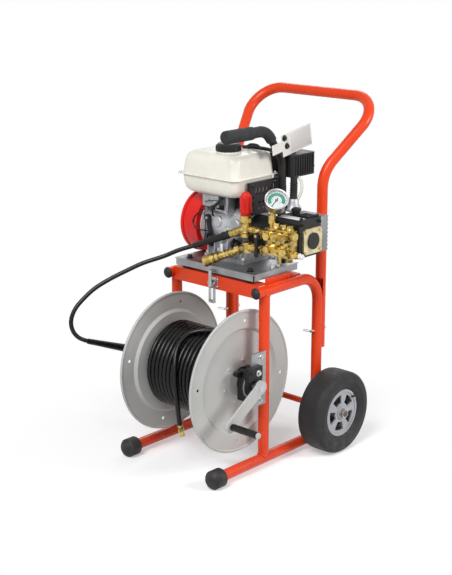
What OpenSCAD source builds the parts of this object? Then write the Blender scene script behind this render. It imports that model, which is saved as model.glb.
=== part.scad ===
// Cart-mounted drain jetter: a petrol engine and triplex pump on a lift-off base,
// carried with a hose reel on a two-wheeled tube cart. Millimetres, +Z up.
// Sizes are laid out in the cart's own axes: x = 0 midway between the side tubes
// (+x on the crank side), y = 0 at the front posts (+y towards the push handle),
// z = 0 on the floor. cart() then moves the origin to the middle of the footprint.

/* [Cart frame] */
// Half the distance between the side tubes' centrelines
frame_half_w = 175; // [172:1:190]
// Outside diameter of the frame and handle tube
tube_d = 32; // [28:1:34]
// Wall of the frame tube
tube_wall = 2.5; // [1.5:0.5:4]
// Height of the side tubes' centreline above the floor
deck_z = 541; // [530:1:620]
// Centreline radius of the side tubes' rear bend
side_bend_r = 76; // [60:1:90]
// Distance from the front posts back to the rear posts
rear_post_y = 245; // [240:1:290]
// How far the side tubes reach in front of the front posts
side_nose = 38; // [30:1:60]
// How far the runners reach in front of the front posts
runner_nose = 205; // [180:1:240]
// How far the runners reach behind the rear posts
runner_tail = 22; // [18:1:40]
// Diameter of the rubber foot tips
tip_d = 56; // [44:1:60]
// Length of a foot tip
tip_len = 63; // [50:1:70]
// Solid rubber in front of the runner's end
tip_nose = 32; // [18:1:36]
// Height of the deck angle's upright leg
angle_h = 40; // [30:1:46]
// Wall of the deck angle
angle_t = 4; // [3:0.5:6]
// Height of the deck angle's top above the side tubes' centreline
angle_rise = 19; // [17:1:24]

/* [Push handle] */
// How far the handle legs stand behind the rear posts
handle_set = 14; // [12:1:18]
// Height of the legs' lower ends
handle_foot_z = 314; // [250:1:340]
// Height where the legs lean back
handle_knee_z = 850; // [800:1:900]
// Height of the top bar's centreline
handle_top_z = 1054; // [1020:1:1120]
// Distance of the top bar behind the front posts
handle_top_y = 454; // [420:1:500]
// Half the width of the handle at its top corners
handle_half_w = 252; // [220:1:280]
// Centreline bend radius at the knees
knee_r = 110; // [90:1:120]
// Centreline bend radius at the top corners
corner_r = 85; // [70:1:95]
// Height of the pins that hold the handle
handle_pin_z = 370; // [350:1:450]
// Diameter of the handle pins
pin_d = 8; // [6:0.5:10]

/* [Wheels] */
// Tyre outside diameter
wheel_d = 254; // [230:1:270]
// Tyre width
wheel_w = 85; // [80:1:95]
// Space between a rear post and its tyre
wheel_gap = 11; // [9:1:20]
// Diameter of the rim's bead seat
rim_d = 138; // [132:1:150]
// Axle diameter
axle_d = 19; // [16:0.5:22]

/* [Hose reel] */
// Distance of the reel's axis in front of the front posts
reel_nose = 63; // [60:1:72]
// Height of the reel's axis
reel_z = 277; // [262:1:300]
// Flange diameter
flange_d = 427; // [400:1:440]
// How far a flange's outer ring stands inside the side tubes' centreline
flange_set = 37; // [35:1:41]
// Sheet thickness of a flange
flange_t = 2.5; // [2:0.5:3]
// Diameter of the dished middle of a flange
dish_d = 304; // [300:1:320]
// Depth of the dish
dish_depth = 8; // [5:1:9]
// Steel drum diameter
drum_d = 140; // [120:1:160]
// Reel shaft diameter
shaft_d = 25; // [22:0.5:28]
// Outside diameter of the jetting hose
hose_d = 14.6; // [12:0.2:15]
// Axial pitch of the wound hose
hose_pitch = 15.8; // [15.6:0.1:17]
// Radius of the outer layer's centreline
wind_r = 123; // [116:0.5:128]
// Crank throw
crank_r = 152; // [130:1:165]
// Angle of the crank arm at rest, from the rear towards the top
crank_angle = 212.6; // [0:0.1:360]
// Width of the crank arm
crank_w = 36; // [30:1:40]
// Thickness of the crank arm
crank_t = 8; // [6:1:10]
// Length of the crank grip
grip_len = 91; // [80:1:110]
// Diameter of the crank grip
grip_d = 21; // [18:1:26]

/* [Lift-off base] */
// Width of the base plate
plate_w = 314; // [306:1:316]
// Depth of the base plate
plate_d = 200; // [190:1:200]
// How far the base plate reaches in front of the front posts
plate_nose = 26; // [24:1:30]
// Sheet thickness of the base plate
plate_t = 3; // [2:0.5:4]
// Depth of the base plate's turned-down edges
lip_h = 20; // [16:1:22]
// Height of the rubber isolators
isolator_h = 27; // [25:1:34]
// Diameter of the lifting bar
lift_d = 24; // [22:1:26]
// Diameter of the lifting bar's foam grip
lift_grip_d = 32; // [30:1:36]

/* [Engine] */
// Height of the crankshaft above the base plate
shaft_h = 97; // [97:1:104]
// Distance of the crankshaft behind the front posts
engine_y = 100; // [96:1:102]
// Fan housing radius
fan_r = 96; // [88:1:96]
// Width of the fuel tank along the crankshaft
tank_w = 220; // [200:1:222]
// Depth of the fuel tank
tank_d = 185; // [170:1:186]
// Height of the fuel tank
tank_h = 126; // [118:1:128]
// Fuel cap diameter
cap_d = 76; // [60:1:80]

/* [Pump] */
// Width of the pump crankcase along the crankshaft
pump_w = 97; // [90:1:105]
// Depth of the pump crankcase
pump_d = 96; // [94:1:102]
// Height of the pump crankcase
pump_h = 108; // [100:1:114]
// Radius of the pressure gauge
gauge_r = 34; // [28:1:36]
// Radius of the hose socket in the inlet nut
inlet_r = 12.5; // [11:0.5:13.5]
// Outside diameter of the jumper hose
jumper_d = 13; // [11:0.5:15]

/* [Hidden] */
$fn = 64;

// Clearances: welded or pressed seats, running shafts, and parts that pass each other
weld_gap = 0.1;
run_gap = 0.05;
pass_gap = 0.3;
over = 1;

// Bent tube: how much fuller a bend is than its straights, and how far the straights run into it
bend_full = 0.016;
bend_lap = 0.01;

// Cart places that follow from the sizes above
tube_r = tube_d / 2;
runner_z = tip_d / 2;
handle_y = rear_post_y + handle_set;
axle_y = rear_post_y;
axle_z = wheel_d / 2;
tip_front_y = -runner_nose - tip_nose;
handle_back_y = handle_top_y + tube_r * (1 + bend_full);
angle_top = deck_z + angle_rise;
angle_y = -tube_r - 6;

// Wheel places along the axle
tyre_in_x = frame_half_w + tube_r + wheel_gap;
tyre_mid_x = tyre_in_x + wheel_w / 2;
hub_in_x = tyre_in_x - 3;
hub_out_x = tyre_in_x + wheel_w - 8;
nut_t = 12;
nut_end_x = hub_out_x + pass_gap + nut_t;

// Rim lips and the tyre beads between them
barrel_half = wheel_w * 0.4;
rim_lip = 3.5;
rim_lip_w = 4;
bead_half = barrel_half - rim_lip_w - weld_gap;

// Reel places along its axis
reel_y = -reel_nose;
flange_r = flange_d / 2;
flange_x = frame_half_w - flange_set;
dish_x = flange_x - dish_depth;
bearing_x = frame_half_w - 22;
bearing_t = 31;
bracket_x = bearing_x + bearing_t;
bracket_t = 5;
crank_x = frame_half_w + 39;
spindle_x = crank_x + crank_t;
grip_x = spindle_x + 2;
spindle_end_x = grip_x + grip_len + 7;
swivel_x = frame_half_w + 87;
shaft_far_x = frame_half_w + 29;

// Lift-off base and engine places
plate_z = angle_top + isolator_h;
plate_top = plate_z + plate_t;
plate_back_y = plate_d - plate_nose;
shaft_z = plate_top + shaft_h;
block_x0 = -97;
block_x1 = 60;
tank_x1 = 60;
tank_y0 = 0;
tank_z = shaft_z + 99;
seam_z = tank_z + 57;
tank_top = tank_z + tank_h;
cap_at = [-20, 62];
cylinder_lean = 35;
barrel_end = 72;
lift_x = 80;
lift_y = plate_back_y + 13;
lift_z = tank_top + 67;
lift_bend_r = 60;

// Pump places
pump_x = 165;
pump_end_x = pump_x + pump_w;
pump_y0 = engine_y - 53;
pump_y1 = pump_y0 + pump_d;
pump_z0 = shaft_z - 45;
manifold_y = pump_y0 - 33;
manifold_x0 = pump_x - 2;
manifold_x1 = pump_end_x - 5;
unloader_at = [85, 20];
outlet_z = shaft_z + 19;
outlet_at = [unloader_at.x, unloader_at.y - 6, outlet_z];
outlet_dir = unit([-98, -48, -42]);
inlet_at = [97, 12, shaft_z - 31];
inlet_dir = unit([-117, -54, -53]);
gauge_at = [180, 43, shaft_z + 113];
gauge_dir = [0.499, -0.55, 0.67];
stem_at = [172, 34, shaft_z + 60];

// Free hoses: the jumper from the pump's restrictor to the reel's, and the reel hose's end
swivel_at = [-swivel_x, reel_y, reel_z];
swivel_dir = unit([0, -0.932, 0.363]);
jumper_out = 160;
jumper_in = 240;
jumper_route = [[-88, -79, 633], [-122, -107, 614], [-165, -151, 594], [-200, -187, 571],
    [-231, -223, 548], [-256, -260, 523], [-271, -291, 496], [-280, -318, 466],
    [-283, -334, 435], [-279, -334, 407], [-271, -318, 384]];
// Reel hose end: angle round the reel, x as a part of the dish's x, height over the outer layer
tail_over = [[72, 0.846, 5.5], [82, 0.762, 12.5], [90, 0.608, 16], [96, 0.408, 16], [101, 0.215, 16],
    [107, 0.062, 16], [116, -0.062, 16], [131, -0.1, 16], [145, -0.062, 16], [160, 0.023, 16],
    [176, 0.085, 16], [190, 0.092, 16]];
tail_free = [[11, -193, 206], [9, -187, 172]];
tail_end = [7, -180, 143];
tail_dir = unit([-1.5, 8, -24]);

origin_x = (spindle_end_x - nut_end_x) / 2;
origin_y = (handle_back_y + min(tip_front_y, reel_y - flange_r)) / 2;

function unit(v) = v / norm(v);
function side_of(w) = unit(cross(abs(w.z) < 0.9 ? [0, 0, 1] : [0, 1, 0], w));
function on_reel(a, x, r) = [x, reel_y + r * cos(a), reel_z + r * sin(a)];
function reel_out(p) = unit([0, p.y - reel_y, p.z - reel_z]);

// Move from the cart's axes to the origin at the middle of the footprint
module cart() {
    translate([-origin_x, -origin_y, 0]) children();
}

// Turn +Z to the direction w, with +X to the direction u
module facing(at, w, u) {
    v = cross(w, u);
    multmatrix([[u.x, v.x, w.x, at.x], [u.y, v.y, w.y, at.y], [u.z, v.z, w.z, at.z], [0, 0, 0, 1]])
        children();
}

// Round bar between two points
module rod(a, b, d) {
    w = unit(b - a);
    facing(a, w, side_of(w)) cylinder(h = norm(b - a), d = d);
}

// Cylinder along +X from x0 to x1, at a point of the y-z plane
module bar_x(x0, x1, y, z, d) {
    translate([x0, y, z]) rotate([0, 90, 0]) cylinder(h = x1 - x0, d = d);
}

// Cylinder along +Y from y0 to y1
module bar_y(x, y0, y1, z, d) {
    translate([x, y1, z]) rotate([90, 0, 0]) cylinder(h = y1 - y0, d = d);
}

// Box from one corner to the other
module block(a, b) {
    translate(a) cube(b - a);
}

// Solid bar along straight runs with true bends; r is the centreline radius at each point.
// The bends are a hair fuller than the straights, as bent tube is, and the straights end inside them.
module bent_bar(pts, r, d) {
    last = len(pts) - 1;
    dirs = [for (i = [0:last - 1]) unit(pts[i + 1] - pts[i])];
    turn = [for (i = [0:last]) i == 0 || i == last ? 0 : acos(dirs[i - 1] * dirs[i])];
    cut = [for (i = [0:last]) r[i] * tan(turn[i] / 2)];
    for (i = [0:last - 1])
        rod(pts[i] + dirs[i] * (cut[i] - r[i] * bend_lap),
            pts[i + 1] - dirs[i] * (cut[i + 1] - r[i + 1] * bend_lap), d);
    for (i = [1:last - 1]) {
        u = dirs[i - 1];
        n = unit(dirs[i] - u * (u * dirs[i]));
        centre = pts[i] - u * cut[i] + n * r[i];
        facing(centre, cross(-n, u), -n) rotate_extrude(angle = turn[i])
            translate([r[i], 0]) circle(d = d * (1 + bend_full));
    }
}

// Points of a smooth curve through the route's points
function spline(p, steps) = [for (i = [0:len(p) - 2]) for (k = [0:steps - 1])
    let (a = p[max(i - 1, 0)], b = p[i], c = p[i + 1], e = p[min(i + 2, len(p) - 1)], t = k / steps)
    b + 0.5 * t * (c - a + t * (2 * a - 5 * b + 4 * c - e + t * (3 * (b - c) + e - a)))];

// Tube of triangles along points; refs are directions that the tube never runs along
module swept_tube(pts, refs, d, sides, first_dir, last_dir) {
    n = len(pts);
    rings = [for (i = [0:n - 1])
        let (t = i == 0 ? first_dir : i == n - 1 ? last_dir : unit(pts[i + 1] - pts[i - 1]),
            s = unit(cross(t, refs[i])), u = cross(s, t))
        for (k = [0:sides - 1]) pts[i] + d / 2 * (s * cos(360 * k / sides) + u * sin(360 * k / sides))];
    walls = [for (i = [0:n - 2]) for (k = [0:sides - 1])
        let (a = i * sides + k, b = i * sides + (k + 1) % sides)
        each [[a, b, a + sides], [b, b + sides, a + sides]]];
    start = [for (k = [1:sides - 2]) [0, k + 1, k]];
    end = [for (k = [1:sides - 2]) [(n - 1) * sides, (n - 1) * sides + k, (n - 1) * sides + k + 1]];
    polyhedron(rings, concat(walls, start, end));
}

// Bent side bar: along the deck, round the bend and down to the runner
module side_bar(s, d, extra) {
    bent_bar([[s * frame_half_w, -side_nose - extra, deck_z], [s * frame_half_w, rear_post_y, deck_z],
        [s * frame_half_w, rear_post_y, runner_z]], [0, side_bend_r, 0], d);
}

module runner_bar(s, d, extra) {
    bar_y(s * frame_half_w, -runner_nose - extra, rear_post_y + runner_tail + extra, runner_z, d);
}

module axle_bar(d, extra) {
    bar_x(-nut_end_x - extra, nut_end_x + extra, axle_y, axle_z, d);
}

module pin_bar(s, d) {
    bar_y(s * frame_half_w, rear_post_y - tube_r - 14, handle_y + tube_r, handle_pin_z, d);
}

module side_tubes() {
    color("orangered") cart() difference() {
        for (s = [-1, 1]) side_bar(s, tube_d, 0);
        for (s = [-1, 1]) {
            side_bar(s, tube_d - 2 * tube_wall, over);
            runner_bar(s, tube_d + 2 * weld_gap, over);
            pin_bar(s, pin_d + 2 * weld_gap);
        }
        axle_bar(axle_d + 2 * weld_gap, over);
    }
}

module front_posts() {
    color("orangered") cart() difference() {
        for (s = [-1, 1]) rod([s * frame_half_w, 0, runner_z], [s * frame_half_w, 0, deck_z], tube_d);
        for (s = [-1, 1]) {
            rod([s * frame_half_w, 0, 0], [s * frame_half_w, 0, deck_z + over], tube_d - 2 * tube_wall);
            runner_bar(s, tube_d + 2 * weld_gap, over);
            side_bar(s, tube_d + 2 * weld_gap, over);
        }
    }
}

module runners() {
    color("orangered") cart() for (s = [-1, 1]) difference() {
        runner_bar(s, tube_d, 0);
        runner_bar(s, tube_d - 2 * tube_wall, over);
    }
}

// Domed plug pushed into an open tube end, its head towards -Z
module tube_plug() {
    head_t = 6;
    dome_r = tube_d;
    stem_l = 18;
    rotate_extrude() {
        square([tube_d / 2 - tube_wall - weld_gap, stem_l]);
        intersection() {
            translate([0, -head_t]) square([tube_d / 2 + 0.5, head_t]);
            translate([0, dome_r - head_t]) circle(r = dome_r);
        }
    }
}

// Rubber foot tip, open towards +Z to take the runner
module foot_tip() {
    dome_r = tip_d * 0.58;
    rotate_extrude() difference() {
        intersection() {
            square([tip_d / 2, tip_len]);
            translate([0, dome_r]) circle(r = dome_r);
        }
        translate([0, tip_nose]) square([tube_d / 2 + weld_gap, tip_len]);
    }
}

module end_caps() {
    color("dimgray") cart() for (s = [-1, 1]) {
        translate([s * frame_half_w, tip_front_y, runner_z]) rotate([-90, 0, 0]) foot_tip();
        translate([s * frame_half_w, -side_nose, deck_z]) rotate([-90, 0, 0]) tube_plug();
        translate([s * frame_half_w, rear_post_y + runner_tail, runner_z]) rotate([90, 0, 0]) tube_plug();
    }
}

// Deck: an angle across the front, one across the rear, and side guides for the base plate
module deck_bars() {
    leg = tube_d + 8;
    reach = frame_half_w - tube_r + 9;
    rear_y = plate_back_y - 4;
    guide_in = plate_w / 2 + 4;
    guide_t = 5;
    guide_h = 20;
    color("orangered") cart() difference() {
        union() {
            block([-reach, angle_y, angle_top - angle_h], [reach, angle_y + angle_t, angle_top]);
            block([-reach, angle_y, angle_top - angle_t], [reach, angle_y + leg, angle_top]);
            block([-reach, rear_y - angle_t, angle_top - angle_h], [reach, rear_y, angle_top]);
            block([-reach, rear_y - leg, angle_top - angle_t], [reach, rear_y, angle_top]);
            for (s = [-1, 1])
                translate([s * (guide_in + guide_t / 2), (angle_y + rear_y) / 2, angle_top + 2])
                    cube([guide_t, rear_y - angle_y - 2 * leg - 2 * weld_gap, guide_h], center = true);
        }
        for (s = [-1, 1]) {
            side_bar(s, tube_d + 2 * weld_gap, over);
            rod([s * frame_half_w, 0, runner_z], [s * frame_half_w, 0, deck_z], tube_d + 2 * weld_gap);
        }
    }
}

module axle() {
    color("orangered") cart() axle_bar(axle_d, 0);
}

// Push handle: one bent tube whose legs are notched to seat on the backs of the rear posts
module handle_bar(d, extra) {
    foot_z = handle_foot_z - extra;
    bent_bar([[frame_half_w, handle_y, foot_z], [frame_half_w, handle_y, handle_knee_z],
        [handle_half_w, handle_top_y, handle_top_z], [-handle_half_w, handle_top_y, handle_top_z],
        [-frame_half_w, handle_y, handle_knee_z], [-frame_half_w, handle_y, foot_z]],
        [0, knee_r, corner_r, corner_r, knee_r, 0], d);
}

module push_handle() {
    notch_top = deck_z - 10;
    color("orangered") cart() difference() {
        handle_bar(tube_d, 0);
        handle_bar(tube_d - 2 * tube_wall, over);
        for (s = [-1, 1]) {
            rod([s * frame_half_w, rear_post_y, runner_z], [s * frame_half_w, rear_post_y, notch_top],
                tube_d * (1 + bend_full) + 2 * weld_gap);
            pin_bar(s, pin_d + 2 * weld_gap);
        }
    }
}

// Pins through posts and legs, with a head behind and a hairpin clip in front
module handle_pins() {
    clip_d = 2.5;
    clip_y = rear_post_y - tube_r - 8;
    clip_l = 26;
    color("silver") cart() for (s = [-1, 1]) {
        x = s * frame_half_w;
        difference() {
            union() {
                pin_bar(s, pin_d);
                bar_y(x, handle_y + tube_r, handle_y + tube_r + 5, handle_pin_z, pin_d + 7);
            }
            bar_x(x - pin_d, x + pin_d, clip_y, handle_pin_z, clip_d + 2 * weld_gap);
        }
        bent_bar([[x + pin_d, clip_y, handle_pin_z], [x - clip_l, clip_y, handle_pin_z],
            [x - clip_l, clip_y - 12, handle_pin_z], [x + 2, clip_y - 12, handle_pin_z]],
            [0, 5, 5, 0], clip_d);
    }
}

// Plates on the front posts that carry the reel's bearings
module reel_brackets() {
    nose_r = 40;
    top = 92;
    bottom = 70;
    front = 7;
    color("lightgray") cart() for (s = [-1, 1]) difference() {
        x0 = s > 0 ? bracket_x : -bracket_x - bracket_t;
        union() {
            bar_x(x0, x0 + bracket_t, reel_y, reel_z, 2 * nose_r);
            block([x0, reel_y - front, reel_z - bottom], [x0 + bracket_t, 0, reel_z + top]);
        }
        rod([s * frame_half_w, 0, runner_z], [s * frame_half_w, 0, deck_z], tube_d + 2 * weld_gap);
        bar_x(x0 - over, x0 + bracket_t + over, reel_y, reel_z, shaft_d + 8);
    }
}

// Cast bearing blocks, bolted to the inner faces of the brackets, and clamp blocks on the outer faces
bearing_half_d = 28;
bearing_half_h = 50;
module reel_bearings() {
    boss_r = 24;
    boss_t = 6;
    clamp_t = 17;
    clamp_lo = [reel_y - 37, reel_z + 20];
    clamp_hi = [reel_y + 21, reel_z + 58];
    color("dimgray") cart() for (s = [-1, 1]) {
        x0 = s > 0 ? bearing_x : -bearing_x - bearing_t;
        boss_x = s > 0 ? bearing_x - boss_t : -bearing_x;
        difference() {
            union() {
                translate([x0, reel_y, reel_z]) rotate([90, 0, 90]) linear_extrude(bearing_t)
                    intersection() {
                        square([2 * bearing_half_d, 2 * bearing_half_h], center = true);
                        circle(r = bearing_half_h + 3);
                    }
                bar_x(boss_x, boss_x + boss_t, reel_y, reel_z, 2 * boss_r);
            }
            bar_x(-frame_half_w * 2, frame_half_w * 2, reel_y, reel_z, shaft_d + 2 * run_gap);
            if (s > 0) lock_space();
        }
        clamp_x = s > 0 ? bracket_x + bracket_t : -bracket_x - bracket_t - clamp_t;
        block([clamp_x, clamp_lo.x, clamp_lo.y], [clamp_x + clamp_t, clamp_hi.x, clamp_hi.y]);
        if (s > 0) bar_x(bearing_x + 3, bearing_x + 21, lock_at().x, lock_at().y, lock_pin_d);
    }
}

// Pivot of the reel lock in the y-z plane
function lock_at() = [reel_y - 17, reel_z + 38];
lock_pin_d = 8;
lock_hub_r = 10;

module lock_space() {
    slot_r = lock_hub_r + 2;
    bar_x(bearing_x + 4, bearing_x + 20, lock_at().x, lock_at().y, 2 * slot_r);
    block([bearing_x + 4, reel_y - 60, lock_at().y - slot_r],
        [bearing_x + 20, lock_at().x + slot_r, reel_z + bearing_half_h + over]);
}

// Lever in the top of the near bearing: points forward to lock the reel, swung up to free it
module reel_lock_lever() {
    x0 = bearing_x + 5;
    lever_t = 14;
    lever_l = 28;
    half_w = 7;
    color("dimgray") cart() difference() {
        union() {
            bar_x(x0, x0 + lever_t, lock_at().x, lock_at().y, 2 * lock_hub_r);
            block([x0, lock_at().x - lever_l, lock_at().y - half_w], [x0 + lever_t, lock_at().x, lock_at().y + half_w]);
            bar_x(x0, x0 + lever_t, lock_at().x - lever_l, lock_at().y, 2 * half_w);
        }
        bar_x(x0 - over, x0 + lever_t + over, lock_at().x, lock_at().y, lock_pin_d + 2 * run_gap);
    }
}

// Axle nuts with their washers, and the sleeves between the posts and the hubs
module wheel_nuts() {
    nut_d = 30;
    sleeve_d = 28;
    color("silver") cart() difference() {
        for (s = [-1, 1]) scale_x(s) {
            translate([hub_out_x + pass_gap, axle_y, axle_z]) rotate([0, 90, 0])
                cylinder(h = nut_t, d = nut_d, $fn = 6);
            difference() {
                bar_x(frame_half_w, hub_in_x - pass_gap, axle_y, axle_z, sleeve_d);
                side_bar(1, tube_d + 2 * weld_gap, over);
            }
        }
        axle_bar(axle_d + 2 * weld_gap, over);
    }
}

// Mirror to the far side for s = -1
module scale_x(s) {
    mirror([s < 0 ? 1 : 0, 0, 0]) children();
}

// Tyre with square shoulders, a raised ring on each side and two grooves round its tread
module tyre() {
    out_r = wheel_d / 2;
    in_r = rim_d / 2;
    half = wheel_w / 2;
    shoulder = 14;
    side_r = in_r + 16;
    ring = [6, 1.5];
    ring_at = out_r - shoulder - 9;
    groove = [4, 3];
    groove_at = wheel_w * 0.18;
    translate([tyre_mid_x, axle_y, axle_z]) rotate([0, 90, 0]) rotate_extrude() difference() {
        union() {
            polygon([[in_r, -bead_half], [in_r + rim_lip + 0.5, -bead_half], [side_r, -half],
                [out_r - shoulder, -half], [out_r - shoulder, half], [side_r, half],
                [in_r + rim_lip + 0.5, bead_half], [in_r, bead_half]]);
            translate([in_r, shoulder - half]) square([out_r - in_r, wheel_w - 2 * shoulder]);
            for (s = [-1, 1]) translate([out_r - shoulder, s * (half - shoulder)]) circle(r = shoulder);
            translate([ring_at, -half - ring.y]) square([ring.x, wheel_w + 2 * ring.y]);
        }
        for (s = [-1, 1]) translate([out_r - groove.y, s * groove_at - groove.x / 2])
            square([groove.y + over, groove.x]);
    }
}

// Two-piece pressed wheel: five windows round the hub in the outer disc, a closed inner disc
module rim() {
    seat_r = rim_d / 2 - weld_gap;
    barrel_t = 4;
    web_t = 5;
    web_x = hub_out_x - 8;
    back_t = 3;
    hub_d = 40;
    window_in = hub_d / 2 + 10;
    window_out = seat_r - 12;
    x_mid = tyre_mid_x;
    difference() {
        union() {
            bar_x(hub_in_x, hub_out_x, axle_y, axle_z, hub_d);
            bar_x(web_x, web_x + web_t, axle_y, axle_z, 2 * seat_r);
            bar_x(x_mid - back_t, x_mid, axle_y, axle_z, 2 * seat_r);
            difference() {
                union() {
                    bar_x(x_mid - barrel_half, x_mid + barrel_half, axle_y, axle_z, 2 * seat_r);
                    for (x = [x_mid - barrel_half, x_mid + barrel_half - rim_lip_w])
                        bar_x(x, x + rim_lip_w, axle_y, axle_z, 2 * (seat_r + rim_lip));
                }
                bar_x(x_mid - barrel_half - over, x_mid + barrel_half + over, axle_y, axle_z,
                    2 * (seat_r - barrel_t));
            }
        }
        axle_bar(axle_d + 2 * run_gap, over);
        translate([web_x - over, axle_y, axle_z]) rotate([90, 0, 90]) linear_extrude(web_t + 2 * over)
            for (k = [0:4]) rotate(43 + 72 * k) intersection() {
                difference() {
                    circle(r = window_out);
                    circle(r = window_in);
                }
                polygon([[0, 0], [seat_r, -seat_r * 0.4], [seat_r, seat_r * 0.4]]);
            }
    }
}

module left_tyre() {
    color("#1c1c1e") cart() scale_x(-1) tyre();
}

module left_rim() {
    color("silver") cart() scale_x(-1) rim();
}

module right_tyre() {
    color("#1c1c1e") cart() tyre();
}

module right_rim() {
    color("silver") cart() rim();
}

// Stamped flange: flat outer ring, dished middle, rolled rim and four holes
module flange(first_hole) {
    bead_r = 4;
    hub_r = 45;
    hub_rise = 4;
    hub_slope = 24;
    slope = 8;
    dish_r = dish_d / 2;
    ring_r = flange_r - bead_r;
    hole_d = 10;
    hole_r = (dish_r + slope + flange_r) / 2 - 6;
    t = flange_t;
    translate([0, reel_y, reel_z]) rotate([90, 0, 90]) difference() {
        rotate_extrude() {
            polygon([[shaft_d / 2 + weld_gap, dish_x + hub_rise], [hub_r, dish_x + hub_rise],
                [hub_r + hub_slope, dish_x], [dish_r, dish_x], [dish_r + slope, flange_x], [ring_r, flange_x],
                [ring_r, flange_x + t], [dish_r + slope - 1, flange_x + t], [dish_r - 1, dish_x + t],
                [hub_r + hub_slope - 1, dish_x + t], [hub_r - 1, dish_x + hub_rise + t],
                [shaft_d / 2 + weld_gap, dish_x + hub_rise + t]]);
            translate([ring_r, flange_x + t / 2]) circle(r = bead_r);
        }
        for (k = [0:3]) rotate(first_hole + 90 * k) translate([hole_r, 0, 0])
            cylinder(h = flange_x * 2, d = hole_d);
    }
}

module near_flange() {
    color("gainsboro") cart() flange(84);
}

module far_flange() {
    color("darkgray") cart() scale_x(-1) flange(77);
}

// Steel drum welded between the flanges
module reel_drum() {
    wall = 4;
    end_t = 5;
    color("darkgray") cart() difference() {
        bar_x(-dish_x, dish_x, reel_y, reel_z, drum_d);
        bar_x(-dish_x + end_t, dish_x - end_t, reel_y, reel_z, drum_d - 2 * wall);
        bar_x(-dish_x - over, dish_x + over, reel_y, reel_z, shaft_d + 2 * weld_gap);
    }
}

module reel_shaft() {
    color("silver") cart() bar_x(-shaft_far_x, spindle_x + 3, reel_y, reel_z, shaft_d);
}

// Outer layer of hose: one unbroken helix over a plain core of the inner layers
wind_steps = 24;
wind_end_angle = 58;
wind_x0 = -dish_x + hose_d / 2 + 1.2;
wind_turns = floor((2 * dish_x - hose_d - 2.4) / hose_pitch * wind_steps) / wind_steps;
wind_count = round(wind_turns * wind_steps);
function wind_point(i) = on_reel(wind_end_angle - 360 * (wind_count - i) / wind_steps,
    wind_x0 + hose_pitch * i / wind_steps, wind_r);
wind_core = [for (i = [0:wind_count]) wind_point(i)];
wind_first = unit(wind_core[0] - wind_core[1]);
wind_last = unit(wind_core[wind_count] - wind_core[wind_count - 1]);
wind_path = concat([wind_core[0] + wind_first * hose_d], wind_core,
    [wind_core[wind_count] + wind_last * hose_d]);
wind_exit = wind_path[len(wind_path) - 1];
core_gap = 0.4;
core_r = wind_r * cos(180 / wind_steps) - hose_d / 2 - core_gap;

// Least gap between neighbouring turns, measured between centreline points
wind_gap = min([for (i = [0:wind_count - 12]) for (j = [i + 12:min(i + 36, wind_count)])
    norm(wind_core[i] - wind_core[j])]) - hose_d;
echo(least_gap_of_wound_hose = wind_gap);

module wound_hose() {
    color("#161616") cart() {
        swept_tube(wind_path, [for (p = wind_path) reel_out(p)], hose_d, 6, -wind_first, wind_last);
        difference() {
            bar_x(-dish_x + pass_gap, dish_x - pass_gap, reel_y, reel_z, 2 * core_r);
            bar_x(-dish_x, dish_x, reel_y, reel_z, drum_d + 2 * pass_gap);
        }
    }
}

// End of the reel hose: over the turns, down the front and hanging free
tail_path = concat([wind_exit], spline(concat([wind_exit + wind_last * hose_d],
    [for (q = tail_over) on_reel(q[0], q[1] * dish_x, wind_r + q[2])], tail_free, [tail_end]), 2), [tail_end]);

module hose_tail() {
    color("#161616") cart()
        swept_tube(tail_path, [for (p = tail_path) reel_out(p)], hose_d, 8, wind_last, tail_dir);
}

// Crimped sleeve and threaded brass end that a nozzle screws on
nozzle_thread_d = 13.7;
module hose_end_fitting() {
    sleeve_l = 16;
    hex_l = 12;
    thread_l = 14;
    bore_d = 6;
    color("goldenrod") cart() facing(tail_end + tail_dir * 3 * pass_gap, tail_dir, side_of(tail_dir)) difference() {
        union() {
            cylinder(h = sleeve_l, d = hose_d + 2.4);
            translate([0, 0, sleeve_l]) cylinder(h = hex_l, d = hose_d + 4, $fn = 6);
            translate([0, 0, sleeve_l + hex_l]) cylinder(h = thread_l, d = nozzle_thread_d);
        }
        translate([0, 0, sleeve_l]) cylinder(h = hex_l + thread_l + over, d = bore_d);
    }
}

// Point of the crank grip's axis in the y-z plane
crank_tip = [reel_y + crank_r * cos(crank_angle), reel_z + crank_r * sin(crank_angle)];
spindle_d = 10;

module crank_arm() {
    head_d = 17;
    head_t = 5;
    boss_t = 1;
    color("gainsboro") cart() {
        difference() {
            union() {
                translate([crank_x, reel_y, reel_z]) rotate([crank_angle, 0, 0])
                    block([0, 0, -crank_w / 2], [crank_t, crank_r, crank_w / 2]);
                bar_x(crank_x - boss_t, spindle_x + boss_t, reel_y, reel_z, crank_w + 4);
                bar_x(crank_x - boss_t, spindle_x + boss_t, crank_tip.x, crank_tip.y, crank_w + 2);
                bar_x(crank_x, spindle_end_x, crank_tip.x, crank_tip.y, spindle_d);
                bar_x(spindle_end_x - head_t, spindle_end_x, crank_tip.x, crank_tip.y, head_d);
            }
            bar_x(crank_x - boss_t - over, spindle_x + boss_t + over, reel_y, reel_z, shaft_d + 2 * weld_gap);
        }
    }
}

// Turned grip, free on its spindle
module crank_grip() {
    taper = 2;
    end_l = 8;
    color("#1c1c1e") cart() difference() {
        union() {
            bar_x(grip_x + end_l, grip_x + grip_len - end_l, crank_tip.x, crank_tip.y, grip_d);
            translate([grip_x, crank_tip.x, crank_tip.y]) rotate([0, 90, 0])
                cylinder(h = end_l, d1 = grip_d - taper, d2 = grip_d);
            translate([grip_x + grip_len - end_l, crank_tip.x, crank_tip.y]) rotate([0, 90, 0])
                cylinder(h = end_l, d1 = grip_d, d2 = grip_d - taper);
        }
        bar_x(grip_x - over, grip_x + grip_len + over, crank_tip.x, crank_tip.y, spindle_d + 2 * run_gap);
    }
}

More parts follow.
